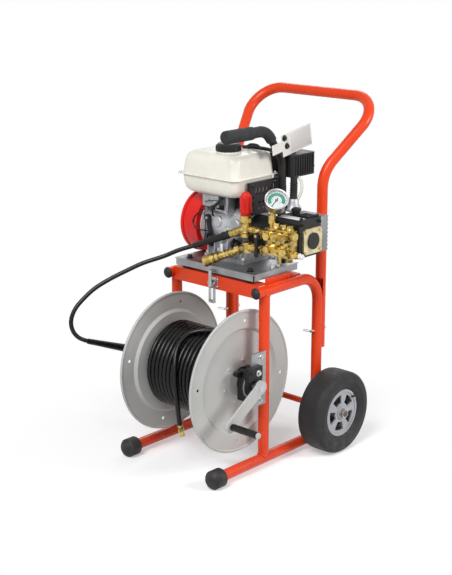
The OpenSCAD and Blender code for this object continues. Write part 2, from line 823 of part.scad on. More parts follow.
// Rotary union on the far end of the reel shaft, with its port turned to the jumper hose
swivel_port = 40;
module reel_swivel() {
    body_d = 34;
    collar = 9;
    end_x = -swivel_x - 14;
    color("goldenrod") cart() difference() {
        union() {
            bar_x(end_x, -shaft_far_x + collar, reel_y, reel_z, body_d);
            rod(swivel_at, swivel_at + swivel_dir * swivel_port, 26);
        }
        bar_x(-shaft_far_x - 2, -shaft_far_x + collar + over, reel_y, reel_z, shaft_d + 2 * run_gap);
    }
}

jumper_start = outlet_at + outlet_dir * jumper_out;
jumper_end = swivel_at + swivel_dir * jumper_in;
jumper_path = concat([jumper_start], spline(concat([jumper_start + outlet_dir * jumper_d], jumper_route,
    [jumper_end + swivel_dir * jumper_d]), 2), [jumper_end + swivel_dir * jumper_d, jumper_end]);

module jumper_hose() {
    color("#161616") cart()
        swept_tube(jumper_path, [for (p = jumper_path) [1, -1, 0]], jumper_d, 8, outlet_dir, -swivel_dir);
}

// Hose couplings with their tapered bend restrictors at both ends of the jumper
outlet_stub = 20;
module jumper_fittings() {
    coupling_l = 27;
    ferrule_l = 20;
    color("#1c1c1e") cart() {
        facing(outlet_at, outlet_dir, side_of(outlet_dir)) {
            translate([0, 0, outlet_stub]) cylinder(h = coupling_l, d = 27, $fn = 6);
            translate([0, 0, outlet_stub + coupling_l])
                cylinder(h = jumper_out - outlet_stub - coupling_l, d1 = 23, d2 = jumper_d + 4);
        }
        facing(swivel_at, swivel_dir, side_of(swivel_dir)) {
            translate([0, 0, swivel_port]) cylinder(h = ferrule_l, d = 27, $fn = 6);
            translate([0, 0, swivel_port + ferrule_l])
                cylinder(h = jumper_in - swivel_port - ferrule_l, d1 = 25, d2 = jumper_d + 4);
        }
    }
}

// Base plate with turned-down edges, notched at the corners, and the latch's keeper in front
module base_plate() {
    half = plate_w / 2;
    notch = 5;
    keeper = [9, 9, 3];
    color("#b8bcc0") cart() {
        difference() {
            block([-half, -plate_nose, plate_top - lip_h], [half, plate_back_y, plate_top]);
            block([-half + plate_t, -plate_nose + plate_t, plate_top - lip_h - over],
                [half - plate_t, plate_back_y - plate_t, plate_z]);
            for (x = [-half, half]) for (y = [-plate_nose, plate_back_y])
                translate([x, y, plate_top - lip_h / 2 - plate_t])
                    cube([2 * notch, 2 * notch, lip_h + over], center = true);
        }
        block([latch_x - keeper.x, -plate_nose - keeper.y, keeper_z - keeper.z],
            [latch_x + keeper.x, -plate_nose + 1, keeper_z]);
    }
}

// Rubber isolators between the deck angles and the base plate
module base_isolators() {
    inset = 37;
    front_y = angle_y + tube_r + 6;
    rear_y = plate_back_y - 24;
    color("#1c1c1e") cart() for (x = [-plate_w / 2 + inset, plate_w / 2 - inset]) for (y = [front_y, rear_y])
        translate([x, y, angle_top]) cylinder(h = isolator_h, d = 24);
}

// Draw latch on the front angle: pivot, link pin and their sizes in the y-z plane
latch_x = 2;
latch_pin = [angle_y - 11, deck_z - 1];
latch_link = latch_pin + [-5, -6];
latch_pin_d = 5;
link_d = 4;
ear_in = 11;
arm_in = 7;
keeper_z = plate_top - 12;

module latch_base() {
    plate_half = 16;
    ear_t = 3;
    ear_r = 6;
    color("silver") cart() translate([latch_x, 0, 0]) {
        block([-plate_half, angle_y - 3, deck_z - 17], [plate_half, angle_y, deck_z + 15]);
        for (x = [-ear_in - ear_t, ear_in]) {
            bar_x(x, x + ear_t, latch_pin.x, latch_pin.y, 2 * ear_r);
            block([x, latch_pin.x, latch_pin.y - ear_r], [x + ear_t, angle_y - 2, latch_pin.y + ear_r]);
        }
        bar_x(-ear_in - ear_t, ear_in + ear_t, latch_pin.x, latch_pin.y, latch_pin_d);
    }
}

// Two arms on the pivot, joined by the link pin and by the finger bar at the bottom
module latch_lever() {
    arm_t = 3;
    arm_w = 9;
    arm_l = 55;
    arm_y = latch_pin.x - 1;
    hub_r = 5.5;
    color("silver") cart() translate([latch_x, 0, 0]) difference() {
        union() {
            for (x = [-arm_in - arm_t, arm_in]) {
                bar_x(x, x + arm_t, latch_pin.x, latch_pin.y, 2 * hub_r);
                block([x, arm_y - arm_w / 2, latch_pin.y - arm_l], [x + arm_t, arm_y + arm_w / 2, latch_pin.y]);
                bar_x(x, x + arm_t, latch_link.x, latch_link.y, link_d + 4);
            }
            block([-arm_in - arm_t, arm_y - arm_w / 2, latch_pin.y - arm_l - 4],
                [arm_in + arm_t, arm_y + arm_w / 2, latch_pin.y - arm_l + 3]);
            bar_x(-arm_in - 1, arm_in + 1, latch_link.x, latch_link.y, link_d);
        }
        bar_x(-ear_in, ear_in, latch_pin.x, latch_pin.y, latch_pin_d + 2 * run_gap);
    }
}

// Strap that the lever draws down on the keeper at the base plate's front edge
module latch_strap() {
    half = 5.5;
    t = 2.5;
    front = latch_link.x - 5.2;
    eye_r = 4.2;
    tip_z = keeper_z + pass_gap;
    color("silver") cart() translate([latch_x, 0, 0]) difference() {
        union() {
            bar_x(-half, half, latch_link.x, latch_link.y, 2 * eye_r);
            block([-half, front, latch_link.y - eye_r + 1], [half, front + t, tip_z + t]);
            block([-half, front, latch_link.y - eye_r + 1], [half, latch_link.x, latch_link.y + eye_r - 1]);
            block([-half, front, tip_z], [half, -plate_nose - 1, tip_z + t]);
        }
        bar_x(-half - over, half + over, latch_link.x, latch_link.y, link_d + 2 * run_gap);
    }
}

// Point at a distance along the leaning cylinder and square to it, in the y-z plane
module on_cylinder(along) {
    translate([0, engine_y, shaft_z]) rotate([cylinder_lean, 0, 0]) translate([0, along, 0]) children();
}

// Throttle pivot on the front of the crankcase
throttle_at = [-72, shaft_z + 28];
throttle_pin_d = 8;

module crankcase() {
    foot_h = 12;
    case_r = 66;
    box_h = 48;
    barrel_d = 70;
    post = 24;
    color("#c9ccd0") cart() {
        block([block_x0, engine_y - 60, plate_top], [block_x1, engine_y + 65, plate_top + foot_h]);
        block([block_x0, engine_y - 48, plate_top], [block_x1, engine_y + 50, shaft_z + box_h]);
        bar_x(block_x0, block_x1, engine_y, shaft_z, 2 * case_r);
        on_cylinder(0) translate([-38, barrel_end, 0]) rotate([90, 0, 0])
            cylinder(h = barrel_end - 20, d = barrel_d);
        for (x = [-75, -15]) for (y = [engine_y - 36, engine_y + 20])
            block([x - post / 2, y - post / 2, shaft_z + box_h - 2], [x + post / 2, y + post / 2, tank_z]);
        bar_y(throttle_at.x, engine_y - 68, engine_y - 40, throttle_at.y, 18);
        bar_y(throttle_at.x, engine_y - 79, engine_y - 40, throttle_at.y, throttle_pin_d);
    }
}

// Finned cylinder, head and rocker cover
module cylinder_head() {
    fin_n = 6;
    fin_t = 4;
    fin_step = 9;
    half = 44;
    x0 = -82;
    x1 = 6;
    head_l = 28;
    cover_l = 18;
    head_at = barrel_end + fin_n * fin_step;
    color("#b4b8bc") cart() on_cylinder(0) {
        translate([(x0 + x1) / 2, head_at, 0]) rotate([90, 0, 0]) cylinder(h = head_at - barrel_end, d = 70);
        for (k = [0:fin_n - 1])
            block([x0, barrel_end + k * fin_step, -half], [x1, barrel_end + k * fin_step + fin_t, half]);
        block([x0 + 2, head_at, -half + 2], [x1, head_at + head_l, half - 2]);
        block([x0 + 8, head_at + head_l, -half + 10], [x1 - 8, head_at + head_l + cover_l, half - 10]);
    }
}

// Fan housing with the duct that leads cooling air up to the cylinder
fan_x0 = -165;
module fan_housing() {
    rim_t = 6;
    rim_w = 8;
    color("#c81e1e") cart() {
        bar_x(fan_x0, block_x0, engine_y, shaft_z, 2 * fan_r - rim_t);
        bar_x(block_x0 - rim_w, block_x0, engine_y, shaft_z, 2 * fan_r);
        bar_x(fan_x0 + 4, fan_x0 + 4 + rim_w, engine_y, shaft_z, 2 * fan_r);
        on_cylinder(0) block([fan_x0 + 14, 0, -fan_r * 0.6], [block_x0 - weld_gap, fan_r + 6, fan_r * 0.45]);
    }
}

// Recoil starter cover: a stepped dish with air slots round its face
recoil_t = 20;
rope_at = [engine_y + 30, shaft_z + 36];
module recoil_cover() {
    r = 70;
    slots = 14;
    boss_d = 22;
    boss_t = 7;
    color("#b81818") cart() difference() {
        union() {
            bar_x(fan_x0 - recoil_t / 2, fan_x0, engine_y, shaft_z, 2 * r);
            translate([fan_x0 - recoil_t, engine_y, shaft_z]) rotate([0, 90, 0])
                cylinder(h = recoil_t / 2, r1 = r - 10, r2 = r);
            bar_x(fan_x0 - recoil_t - boss_t, fan_x0 - recoil_t + 1, rope_at.x, rope_at.y, boss_d);
        }
        for (k = [0:slots - 1]) translate([fan_x0 - recoil_t, engine_y, shaft_z])
            rotate([360 * k / slots + 8, 0, 0]) block([-over, 24, -2.5], [6, 36, 2.5]);
    }
}

module starter_grip() {
    seat_x = fan_x0 - recoil_t - 7;
    bar_l = 76;
    color("#1c1c1e") cart() {
        bar_x(seat_x - 14, seat_x - pass_gap, rope_at.x, rope_at.y, 15);
        translate([seat_x - 18, rope_at.x, rope_at.y]) rotate([45, 0, 0])
            bar_y(0, -bar_l / 2, bar_l / 2, 0, 19);
    }
}

// One drawn shell of the tank: full at the seam, drawn in by an inset and rounded at its end
module drawn_shell(lo, hi, seam, end, inset, r) {
    up = end > seam ? 1 : -1;
    hull() {
        translate([0, 0, seam - (up > 0 ? 0 : 1)]) linear_extrude(1)
            for (x = [lo.x + r, hi.x - r]) for (y = [lo.y + r, hi.y - r]) translate([x, y]) circle(r = r, $fn = 32);
        for (x = [lo.x + r + inset, hi.x - r - inset]) for (y = [lo.y + r + inset, hi.y - r - inset])
            translate([x, y, end - up * r]) sphere(r = r, $fn = 32);
    }
}

// Flat plate with round corners between two corners
module round_plate(a, b, r) {
    translate([0, 0, a.z]) linear_extrude(b.z - a.z) {
        for (x = [a.x + r, b.x - r]) for (y = [a.y + r, b.y - r]) translate([x, y]) circle(r = r);
        translate([a.x + r, a.y]) square([b.x - a.x - 2 * r, b.y - a.y]);
        translate([a.x, a.y + r]) square([b.x - a.x, b.y - a.y - 2 * r]);
    }
}

// Pressed steel tank: two drawn shells joined at a seam flange
module fuel_tank() {
    corner_round = 26;
    seam_t = 4;
    seam_lip = 6;
    neck_d = cap_d - 20;
    lo = [tank_x1 - tank_w, tank_y0, tank_z];
    hi = [tank_x1, tank_y0 + tank_d, tank_top];
    color("#efe9d8") cart() {
        drawn_shell(lo, hi, seam_z, tank_top, 14, corner_round);
        drawn_shell(lo, hi, seam_z, tank_z, 7, corner_round);
        round_plate([lo.x - seam_lip, lo.y - seam_lip, seam_z - seam_t / 2],
            [hi.x + seam_lip, hi.y + seam_lip, seam_z + seam_t / 2], corner_round + seam_lip);
        translate([cap_at.x, cap_at.y, tank_top - 3]) cylinder(h = 8, d = neck_d);
    }
}

module fuel_cap() {
    cap_h = 22;
    lobes = 18;
    seat_z = tank_top + 5 + pass_gap;
    color("#1c1c1e") cart() translate([cap_at.x, cap_at.y, seat_z]) {
        cylinder(h = cap_h - 6, d = cap_d - 3);
        translate([0, 0, cap_h - 6]) cylinder(h = 6, d1 = cap_d - 3, d2 = cap_d - 16);
        for (k = [0:lobes - 1]) rotate(360 * k / lobes) translate([cap_d / 2 - 2, 0, 0])
            cylinder(h = cap_h - 7, d = 4);
    }
}

// Silencer with its slotted guard
module muffler() {
    y0 = engine_y - 38;
    y1 = engine_y + 76;
    z0 = shaft_z + 68;
    z1 = tank_z - 4;
    guard_x0 = tank_x1 + 2;
    guard_x1 = guard_x0 + 12;
    guard_lo = [y0 - 10, shaft_z + 49];
    guard_hi = [y1 - 2, seam_z - 11];
    sheet = 2;
    color("#202124") cart() {
        difference() {
            block([10, y0, z0], [block_x1 - 2, y1, z1]);
            bar_x(block_x1 - 8, block_x1, y0 + 20, z0 + 24, 16);
        }
        for (y = [y0 + 8, y1 - 8]) for (z = [z0 + 6, z1 - 6]) bar_x(block_x1 - 4, guard_x1 - 1, y, z, 7);
        bar_x(6, 12, y1 - 30, z0 + 12, 22);
        difference() {
            block([guard_x0, guard_lo.x, guard_lo.y], [guard_x1, guard_hi.x, guard_hi.y]);
            block([guard_x0 - over, guard_lo.x + sheet, guard_lo.y + sheet],
                [guard_x1 - sheet, guard_hi.x - sheet, guard_hi.y - sheet]);
            for (k = [0:5]) block([guard_x1 - sheet - over, guard_lo.x + 22 + 16 * k, guard_hi.y - 36],
                [guard_x1 + over, guard_lo.x + 29 + 16 * k, guard_hi.y - 14]);
            for (k = [0:2]) bar_x(guard_x1 - sheet - over, guard_x1 + over, guard_lo.x + 12,
                guard_lo.y + 14 + 20 * k, 8);
            for (k = [0:3]) for (m = [0:1]) bar_x(guard_x1 - sheet - over, guard_x1 + over,
                guard_lo.x + 40 + 18 * k, guard_lo.y + 18 + 18 * m, 8);
        }
    }
}

// Air cleaner box behind the tank, with a ribbed cover
air_z0 = seam_z - 11;
module air_cleaner() {
    x0 = 12;
    x1 = 108;
    y0 = lift_y + lift_d / 2 + 1.5;
    y1 = y0 + 110;
    h = 66;
    corner_r = 12;
    ribs = 9;
    rib = 2;
    color("#202124") cart() {
        round_plate([x0, y0, air_z0], [x1, y1, air_z0 + h], corner_r);
        round_plate([x0 - 2, y0, air_z0 + 20], [x1, y1 + 2, air_z0 + 24], corner_r);
        for (k = [0:ribs - 2]) block([x1 - 1, y0 + 15 + k * 11, air_z0 + 5],
            [x1 + rib, y0 + 19 + k * 11, air_z0 + h - 5]);
        for (k = [0:ribs - 3]) block([x0 + 15 + k * 10, y1 - 1, air_z0 + 30],
            [x0 + 19 + k * 10, y1 + rib, air_z0 + h - 5]);
        translate([(x0 + x1) / 2, (y0 + y1) / 2, air_z0 + h]) cylinder(h = 10, d = 24);
    }
}

// Carburettor between the head and the air cleaner
module carburettor() {
    x0 = 24;
    x1 = 60;
    y0 = engine_y + 92;
    bowl_d = 34;
    color("#b4b8bc") cart() {
        block([x0, y0, shaft_z + 78], [x1, y0 + 40, shaft_z + 112]);
        block([x0 + 4, y0 + 17, shaft_z + 110], [x1 - 4, y0 + 40, air_z0]);
        translate([(x0 + x1) / 2, y0 + 19, shaft_z + 56]) cylinder(h = 24, d = bowl_d);
        bar_x(6, x0 + 1, y0 + 18, shaft_z + 88, 24);
    }
}

module throttle_lever() {
    lever_t = 8;
    arm = 58;
    lean = 15;
    y1 = engine_y - 68 - pass_gap;
    y0 = y1 - lever_t;
    color("#202124") cart() translate([throttle_at.x, 0, throttle_at.y]) rotate([0, -lean, 0]) difference() {
        union() {
            bar_y(0, y0, y1, 0, 22);
            block([-6, y0, -arm], [6, y1, 0]);
            bar_y(0, y0, y1, -arm, 18);
        }
        bar_y(0, y0 - over, y1 + over, 0, throttle_pin_d + 2 * run_gap);
    }
}

// Lifting bar: stands behind the base plate, leans forward over the tank and ends in the grip
lift_end_y = -55;
lift_lean_z = lift_z - 94;
lift_corner_y = lift_y - 75;
lift_lean = unit([0, lift_y - lift_corner_y, lift_lean_z - lift_z]);
module lift_run(d) {
    bent_bar([[lift_x, lift_y, plate_top - lip_h - 5], [lift_x, lift_y, lift_lean_z],
        [lift_x, lift_corner_y, lift_z], [lift_x, lift_end_y, lift_z]], [0, lift_bend_r, lift_bend_r, 0], d);
}

module lift_bar() {
    foot_w = 30;
    color("#202124") cart() {
        lift_run(lift_d);
        block([lift_x - foot_w / 2, plate_back_y, plate_top - lip_h], [lift_x + foot_w / 2, lift_y, plate_top]);
    }
}

// Foam sleeve over the bar's end and its upper bend
module lift_grip() {
    end_wall = 5;
    ease = 5;
    down = 38;
    y0 = lift_end_y - end_wall;
    corner = [lift_x, lift_corner_y, lift_z];
    color("#2b2c2f") cart() difference() {
        union() {
            bent_bar([corner + lift_lean * down, corner, [lift_x, y0 + ease, lift_z]], [0, lift_bend_r, 0],
                lift_grip_d);
            translate([lift_x, y0 + ease, lift_z]) rotate([90, 0, 0])
                cylinder(h = ease, d1 = lift_grip_d, d2 = lift_grip_d - 8);
        }
        lift_run(lift_d + 2 * weld_gap);
    }
}

// Blank plate on the lifting bar's lean, with a tab under the grip
module tag_plate() {
    plate_l = 136;
    plate_h = 66;
    tab = [44, 18, 48];
    sheet = 1.6;
    tilt = 10;
    x0 = lift_x + lift_d * (1 + bend_full) / 2 + weld_gap;
    color("#e8e6e0") cart() translate([x0, lift_y - 12, lift_z - 84]) rotate([tilt, 0, 0]) {
        block([0, 0, 0], [sheet, plate_l, plate_h]);
        block([0, -tab.x, tab.y], [sheet, 1, tab.z]);
    }
}

// Pump crankcase with its flange to the engine
module pump_body() {
    chamfer = 10;
    bell_d = 92;
    boss_d = 48;
    y0 = pump_y0;
    y1 = pump_y1;
    z0 = pump_z0;
    z1 = pump_z0 + pump_h;
    color("#26272a") cart() {
        translate([pump_x, 0, 0]) rotate([90, 0, 90]) linear_extrude(pump_w)
            polygon([[y0 + chamfer, z0], [y1, z0], [y1, z1], [y0 + chamfer, z1], [y0, z1 - chamfer],
                [y0, z0 + chamfer]]);
        bar_x(block_x1, pump_x, engine_y, shaft_z, bell_d);
        bar_x(pump_x - 14, pump_x, engine_y, shaft_z, bell_d + 12);
        bar_x(pump_end_x - 1, pump_end_x + 11, engine_y, shaft_z, boss_d);
        translate([pump_x + 30, y1 - 30, z1 - 1]) cylinder(h = 13, d = 22);
    }
}

module pump_end_cover() {
    half_d = 41;
    half_h = 37;
    cut = 9;
    t = 7;
    boss_d = 48;
    color("#c8a24a") cart() {
        difference() {
            translate([pump_end_x, engine_y, shaft_z]) rotate([90, 0, 90]) linear_extrude(t)
                polygon([[-half_d + cut, -half_h], [half_d - cut, -half_h], [half_d, -half_h + cut],
                    [half_d, half_h - cut], [half_d - cut, half_h], [-half_d + cut, half_h],
                    [-half_d, half_h - cut], [-half_d, -half_h + cut]]);
            bar_x(pump_end_x - over, pump_end_x + t + over, engine_y, shaft_z, boss_d + 2 * weld_gap);
        }
        for (y = [-1, 1]) for (z = [-1, 1])
            translate([pump_end_x + t, engine_y + y * (half_d - 10), shaft_z + z * (half_h - 9)])
                rotate([0, 90, 0]) cylinder(h = 4, d = 11, $fn = 6);
    }
}

// Rear cover with level cooling fins
module pump_rear_cover() {
    plate_thick = 14;
    fin_h = 24;
    fins = 9;
    fin_t = 4;
    margin = 3;
    z0 = pump_z0 + margin;
    z1 = pump_z0 + pump_h - margin;
    step = (z1 - z0 - fin_t) / (fins - 1);
    color("#8b8f94") cart() {
        block([pump_x + margin, pump_y1, z0], [pump_end_x - margin, pump_y1 + plate_thick, z1]);
        for (k = [0:fins - 1]) block([pump_x + margin, pump_y1 + plate_thick - 1, z0 + k * step],
            [pump_end_x - margin, pump_y1 + plate_thick + fin_h, z0 + k * step + fin_t]);
    }
}

// Ball valve for the pulse lever, on the pipe to the unloader
pulse_at = [148, shaft_z + 13];
pulse_pin_d = 8;
pulse_seat_y = -1;

// Brass head with valve caps, ports, drain valve and gauge stem
module pump_manifold() {
    z0 = pump_z0 + 4;
    z1 = shaft_z + 37;
    pipe_d = 20;
    inlet_d = 22;
    cap_d = 28;
    caps = [manifold_x0 + 17, (manifold_x0 + manifold_x1) / 2, manifold_x1 - 17];
    color("#c9a13c") cart() difference() {
        union() {
            block([manifold_x0, manifold_y, z0], [manifold_x1, pump_y0, z1]);
            for (x = caps) for (z = [shaft_z + 16, shaft_z - 23]) {
                bar_y(x, manifold_y - 8, manifold_y, z, cap_d);
                translate([x, manifold_y - 8, z]) rotate([90, 0, 0])
                    cylinder(h = 11, d = cap_d - 4, $fn = 6);
            }
            bar_x(unloader_at.x, manifold_x0, unloader_at.y, outlet_z, pipe_d);
            bar_x(inlet_at.x + 20, manifold_x0, inlet_at.y, inlet_at.z, inlet_d);
            bar_x(manifold_x1, manifold_x1 + 27, manifold_y + 8, z0 + 12, 18);
            translate([manifold_x1, manifold_y + 8, z1 - 14]) rotate([0, 90, 0])
                cylinder(h = 11, d = 26, $fn = 6);
            bar_y(pulse_at.x, pulse_seat_y, unloader_at.y, pulse_at.y, 22);
            bar_y(pulse_at.x, pulse_seat_y - 10, unloader_at.y, pulse_at.y, pulse_pin_d);
            translate([stem_at.x, stem_at.y, z1 - 1]) cylinder(h = gauge_at.z - z1 - 4, d = 14);
            translate(stem_at - [0, 0, 12]) cylinder(h = 23, d = 22);
        }
        gauge_solid(gauge_r + weld_gap, -gauge_back - weld_gap, gauge_front);
        translate([unloader_at.x, unloader_at.y, 0]) cylinder(h = tank_top, d = unloader_d + 2 * weld_gap);
    }
}

// Pressure-regulating unloader with its stem and outlet port
unloader_d = 32;
unloader_top = shaft_z + 59;
module unloader_valve() {
    stem_d = 12;
    hex_d = 40;
    color("#c9a13c") cart() {
        translate([unloader_at.x, unloader_at.y, shaft_z - 3]) cylinder(h = unloader_top - shaft_z + 3,
            d = unloader_d);
        translate([unloader_at.x, unloader_at.y, unloader_top - 18]) cylinder(h = 10, d = hex_d, $fn = 6);
        translate([unloader_at.x, unloader_at.y, unloader_top]) cylinder(h = 26, d = stem_d);
        rod(outlet_at, outlet_at + outlet_dir * outlet_stub, 22);
    }
}

module unloader_knob() {
    d = 36;
    h = 64;
    dome = 12;
    stem_d = 12;
    z0 = unloader_top + pass_gap;
    color("#d3261c") cart() translate([unloader_at.x, unloader_at.y, z0]) difference() {
        union() {
            cylinder(h = 10, d1 = d - 10, d2 = d);
            translate([0, 0, 10]) cylinder(h = h - 10 - dome, d = d);
            translate([0, 0, h - dome]) intersection() {
                cylinder(h = dome, d = d);
                translate([0, 0, dome - 22]) sphere(r = 22);
            }
        }
        translate([0, 0, -over]) cylinder(h = 27 + over, d = stem_d + 2 * run_gap);
        for (k = [0:7]) rotate(45 * k) translate([d / 2 + 3, 0, 12]) cylinder(h = h, d = 10);
    }
}

module pulse_lever() {
    y1 = pulse_seat_y - pass_gap;
    y0 = y1 - 8;
    arm = 56;
    color("#1c1c1e") cart() translate([pulse_at.x, 0, pulse_at.y]) difference() {
        union() {
            bar_y(0, y0, y1, 0, 20);
            block([-5, y0, -arm], [5, y1 - 2, 0]);
            bar_y(0, y0, y1 - 2, -arm, 14);
        }
        bar_y(0, y0 - over, y1 + over, 0, pulse_pin_d + 2 * run_gap);
    }
}

// Pressure gauge: its layers are measured along its axis from the dial
gauge_back = 20;
gauge_front = 8;
gauge_rim = 4;
module gauge_solid(r, from, to) {
    facing(gauge_at + gauge_dir * from, unit(gauge_dir), side_of(unit(gauge_dir)))
        cylinder(h = to - from, r = r);
}

module gauge_case() {
    color("silver") cart() difference() {
        gauge_solid(gauge_r, -gauge_back, gauge_front);
        gauge_solid(gauge_r - gauge_rim, -3, gauge_front + over);
    }
}

module gauge_dial() {
    color("white") cart() difference() {
        gauge_solid(gauge_r - gauge_rim - weld_gap, -3, -1.5);
        gauge_solid(2, -4, 0);
    }
    color("white") cart() gauge_solid(1.5, -3, 1.5);
}

module gauge_needle() {
    w = unit(gauge_dir);
    u = side_of(w);
    color("black") cart() facing(gauge_at, w, u) difference() {
        union() {
            cylinder(h = 1.2, r = 4);
            rotate(235) block([-8, -1, 0], [gauge_r - gauge_rim - 6, 1, 1.2]);
        }
        translate([0, 0, -over]) cylinder(h = 3, r = 1.5 + run_gap);
    }
}

module gauge_lens() {
    color([0.8, 0.9, 0.95, 0.4]) cart()
        gauge_solid(gauge_r - gauge_rim - weld_gap, gauge_front - 4, gauge_front - 2);
}

// Water inlet: elbow and ribbed nipple that the hose nut turns on
inlet_l = 118;
nut_back = 104;
nut_front = 140;
module inlet_fitting() {
    d = 20;
    elbow_h = 30;
    color("#c9a13c") cart() {
        translate(inlet_at - [0, 0, elbow_h / 2]) cylinder(h = elbow_h, d = 27);
        bar_x(inlet_at.x, inlet_at.x + 20, inlet_at.y, inlet_at.z, 22);
        facing(inlet_at, inlet_dir, side_of(inlet_dir)) {
            cylinder(h = inlet_l, d = d);
            translate([0, 0, 22]) cylinder(h = 14, d = d + 10, $fn = 6);
            for (k = [0:3]) translate([0, 0, 46 + 11 * k]) cylinder(h = 6, d = d + 5);
            translate([0, 0, 92]) cylinder(h = 10, d = d + 9);
        }
    }
}

module inlet_nut() {
    d = 34;
    color("#c9a13c") cart() facing(inlet_at, inlet_dir, side_of(inlet_dir)) difference() {
        union() {
            translate([0, 0, nut_back]) cylinder(h = nut_front - nut_back, d = d - 3);
            for (k = [0:2]) translate([0, 0, nut_back + 4 + 12 * k]) cylinder(h = 7, d = d);
        }
        translate([0, 0, nut_back - over]) cylinder(h = inlet_l - nut_back + 2 + over, d = 20 + 2 * run_gap);
        translate([0, 0, inlet_l + 2]) cylinder(h = nut_front - inlet_l, r = inlet_r);
    }
}

side_tubes();
front_posts();
runners();
end_caps();
deck_bars();
axle();
push_handle();
handle_pins();
reel_brackets();
reel_bearings();
wheel_nuts();
left_tyre();
left_rim();
right_tyre();
right_rim();
near_flange();
far_flange();
reel_drum();
reel_shaft();
wound_hose();
hose_tail();
hose_end_fitting();
crank_arm();
crank_grip();
reel_lock_lever();
reel_swivel();
jumper_hose();
jumper_fittings();
base_plate();
base_isolators();
latch_base();
latch_lever();
latch_strap();
crankcase();
cylinder_head();
fan_housing();
recoil_cover();
starter_grip();
fuel_tank();
fuel_cap();
muffler();
air_cleaner();
carburettor();
throttle_lever();
lift_bar();
lift_grip();
tag_plate();
pump_body();
pump_end_cover();
pump_rear_cover();
pump_manifold();
unloader_valve();
unloader_knob();
pulse_lever();
gauge_case();
gauge_dial();
gauge_needle();
gauge_lens();
inlet_fitting();
inlet_nut();
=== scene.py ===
import bmesh
import bpy
import math
from mathutils import Matrix, Vector


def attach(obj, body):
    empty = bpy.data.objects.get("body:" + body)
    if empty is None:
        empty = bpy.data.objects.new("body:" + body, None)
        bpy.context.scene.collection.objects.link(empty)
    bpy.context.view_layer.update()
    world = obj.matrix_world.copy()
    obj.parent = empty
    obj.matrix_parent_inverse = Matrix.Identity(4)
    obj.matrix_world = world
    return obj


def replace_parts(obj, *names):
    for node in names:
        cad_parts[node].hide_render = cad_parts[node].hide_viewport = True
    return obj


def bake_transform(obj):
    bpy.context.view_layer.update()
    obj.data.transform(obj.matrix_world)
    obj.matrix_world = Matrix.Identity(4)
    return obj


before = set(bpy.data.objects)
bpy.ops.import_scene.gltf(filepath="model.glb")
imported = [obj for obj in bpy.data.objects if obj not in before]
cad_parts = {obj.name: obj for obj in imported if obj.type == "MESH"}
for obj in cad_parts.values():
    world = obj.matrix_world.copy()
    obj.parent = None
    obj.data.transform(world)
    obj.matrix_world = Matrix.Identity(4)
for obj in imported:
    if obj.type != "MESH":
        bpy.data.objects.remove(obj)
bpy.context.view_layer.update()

# The cart's own axes, in millimetres: x from the middle of the frame towards the crank,
# y from the front posts towards the handle, z from the floor.
FOOTPRINT = Vector((15.35, 96.878, 0.0))
MM = 1000
FULL_TURN = 2 * math.pi
UP, DOWN, FRONT = (0, 0, 1), (0, 0, -1), (0, -1, 0)
NEAR, FAR = (1, 0, 0), (-1, 0, 0)


def place(x, y, z):
    """A place on the cart, in the frame's metres."""
    return (Vector((x, y, z)) - FOOTPRINT) / MM


def facing(side, out):
    """The turn that takes +X to side and +Z to out."""
    return Matrix((side, out.cross(side), out)).transposed().to_4x4()


def aimed(at, way):
    """Turn +Z to the direction way, or by the matrix way, and move the origin to the place at."""
    if not isinstance(way, Matrix):
        way = Vector(way).normalized().to_track_quat("Z", "Y").to_matrix().to_4x4()
    return Matrix.Translation(place(*at)) @ way


def round_axis(y, z, degrees, x, r):
    """A place at the radius r from the level axis through (y, z)."""
    a = math.radians(degrees)
    return Vector((x, y + r * math.cos(a), z + r * math.sin(a)))


def srgb(r, g, b):
    """An 8-bit screen colour as a linear one."""
    def linear(c):
        c /= 255
        return c / 12.92 if c <= 0.04045 else ((c + 0.055) / 1.055) ** 2.4
    return (linear(r), linear(g), linear(b), 1.0)


def add_object(name, data):
    made = bpy.data.objects.new(name, data)
    bpy.context.scene.collection.objects.link(made)
    return made


# Camera: the photograph's view, fitted to the tube ends and wheel circles
VIEW_BEARING, VIEW_DROP = math.radians(42.2517), math.radians(15.7832)
VIEW_FROM = (2464.945, -2684.675, 1549.2925)
FOCAL_PIXELS, PHOTO_HEIGHT = 1283.9247, 575
SENSOR_HEIGHT, CLIP_END = 36.0, 60
eye = bpy.data.cameras.new("photo_camera")
eye.sensor_fit = "VERTICAL"
eye.sensor_height = SENSOR_HEIGHT
eye.lens = SENSOR_HEIGHT * FOCAL_PIXELS / PHOTO_HEIGHT
eye.clip_end = CLIP_END
camera = add_object("photo_camera", eye)
back = Vector((math.sin(VIEW_BEARING) * math.cos(VIEW_DROP),
               -math.cos(VIEW_BEARING) * math.cos(VIEW_DROP), math.sin(VIEW_DROP)))
right = Vector((math.cos(VIEW_BEARING), math.sin(VIEW_BEARING), 0))
camera.matrix_world = Matrix.Translation(place(*VIEW_FROM)) @ facing(right, back)
bpy.context.scene.camera = camera
bpy.context.scene.view_settings.view_transform = "Standard"


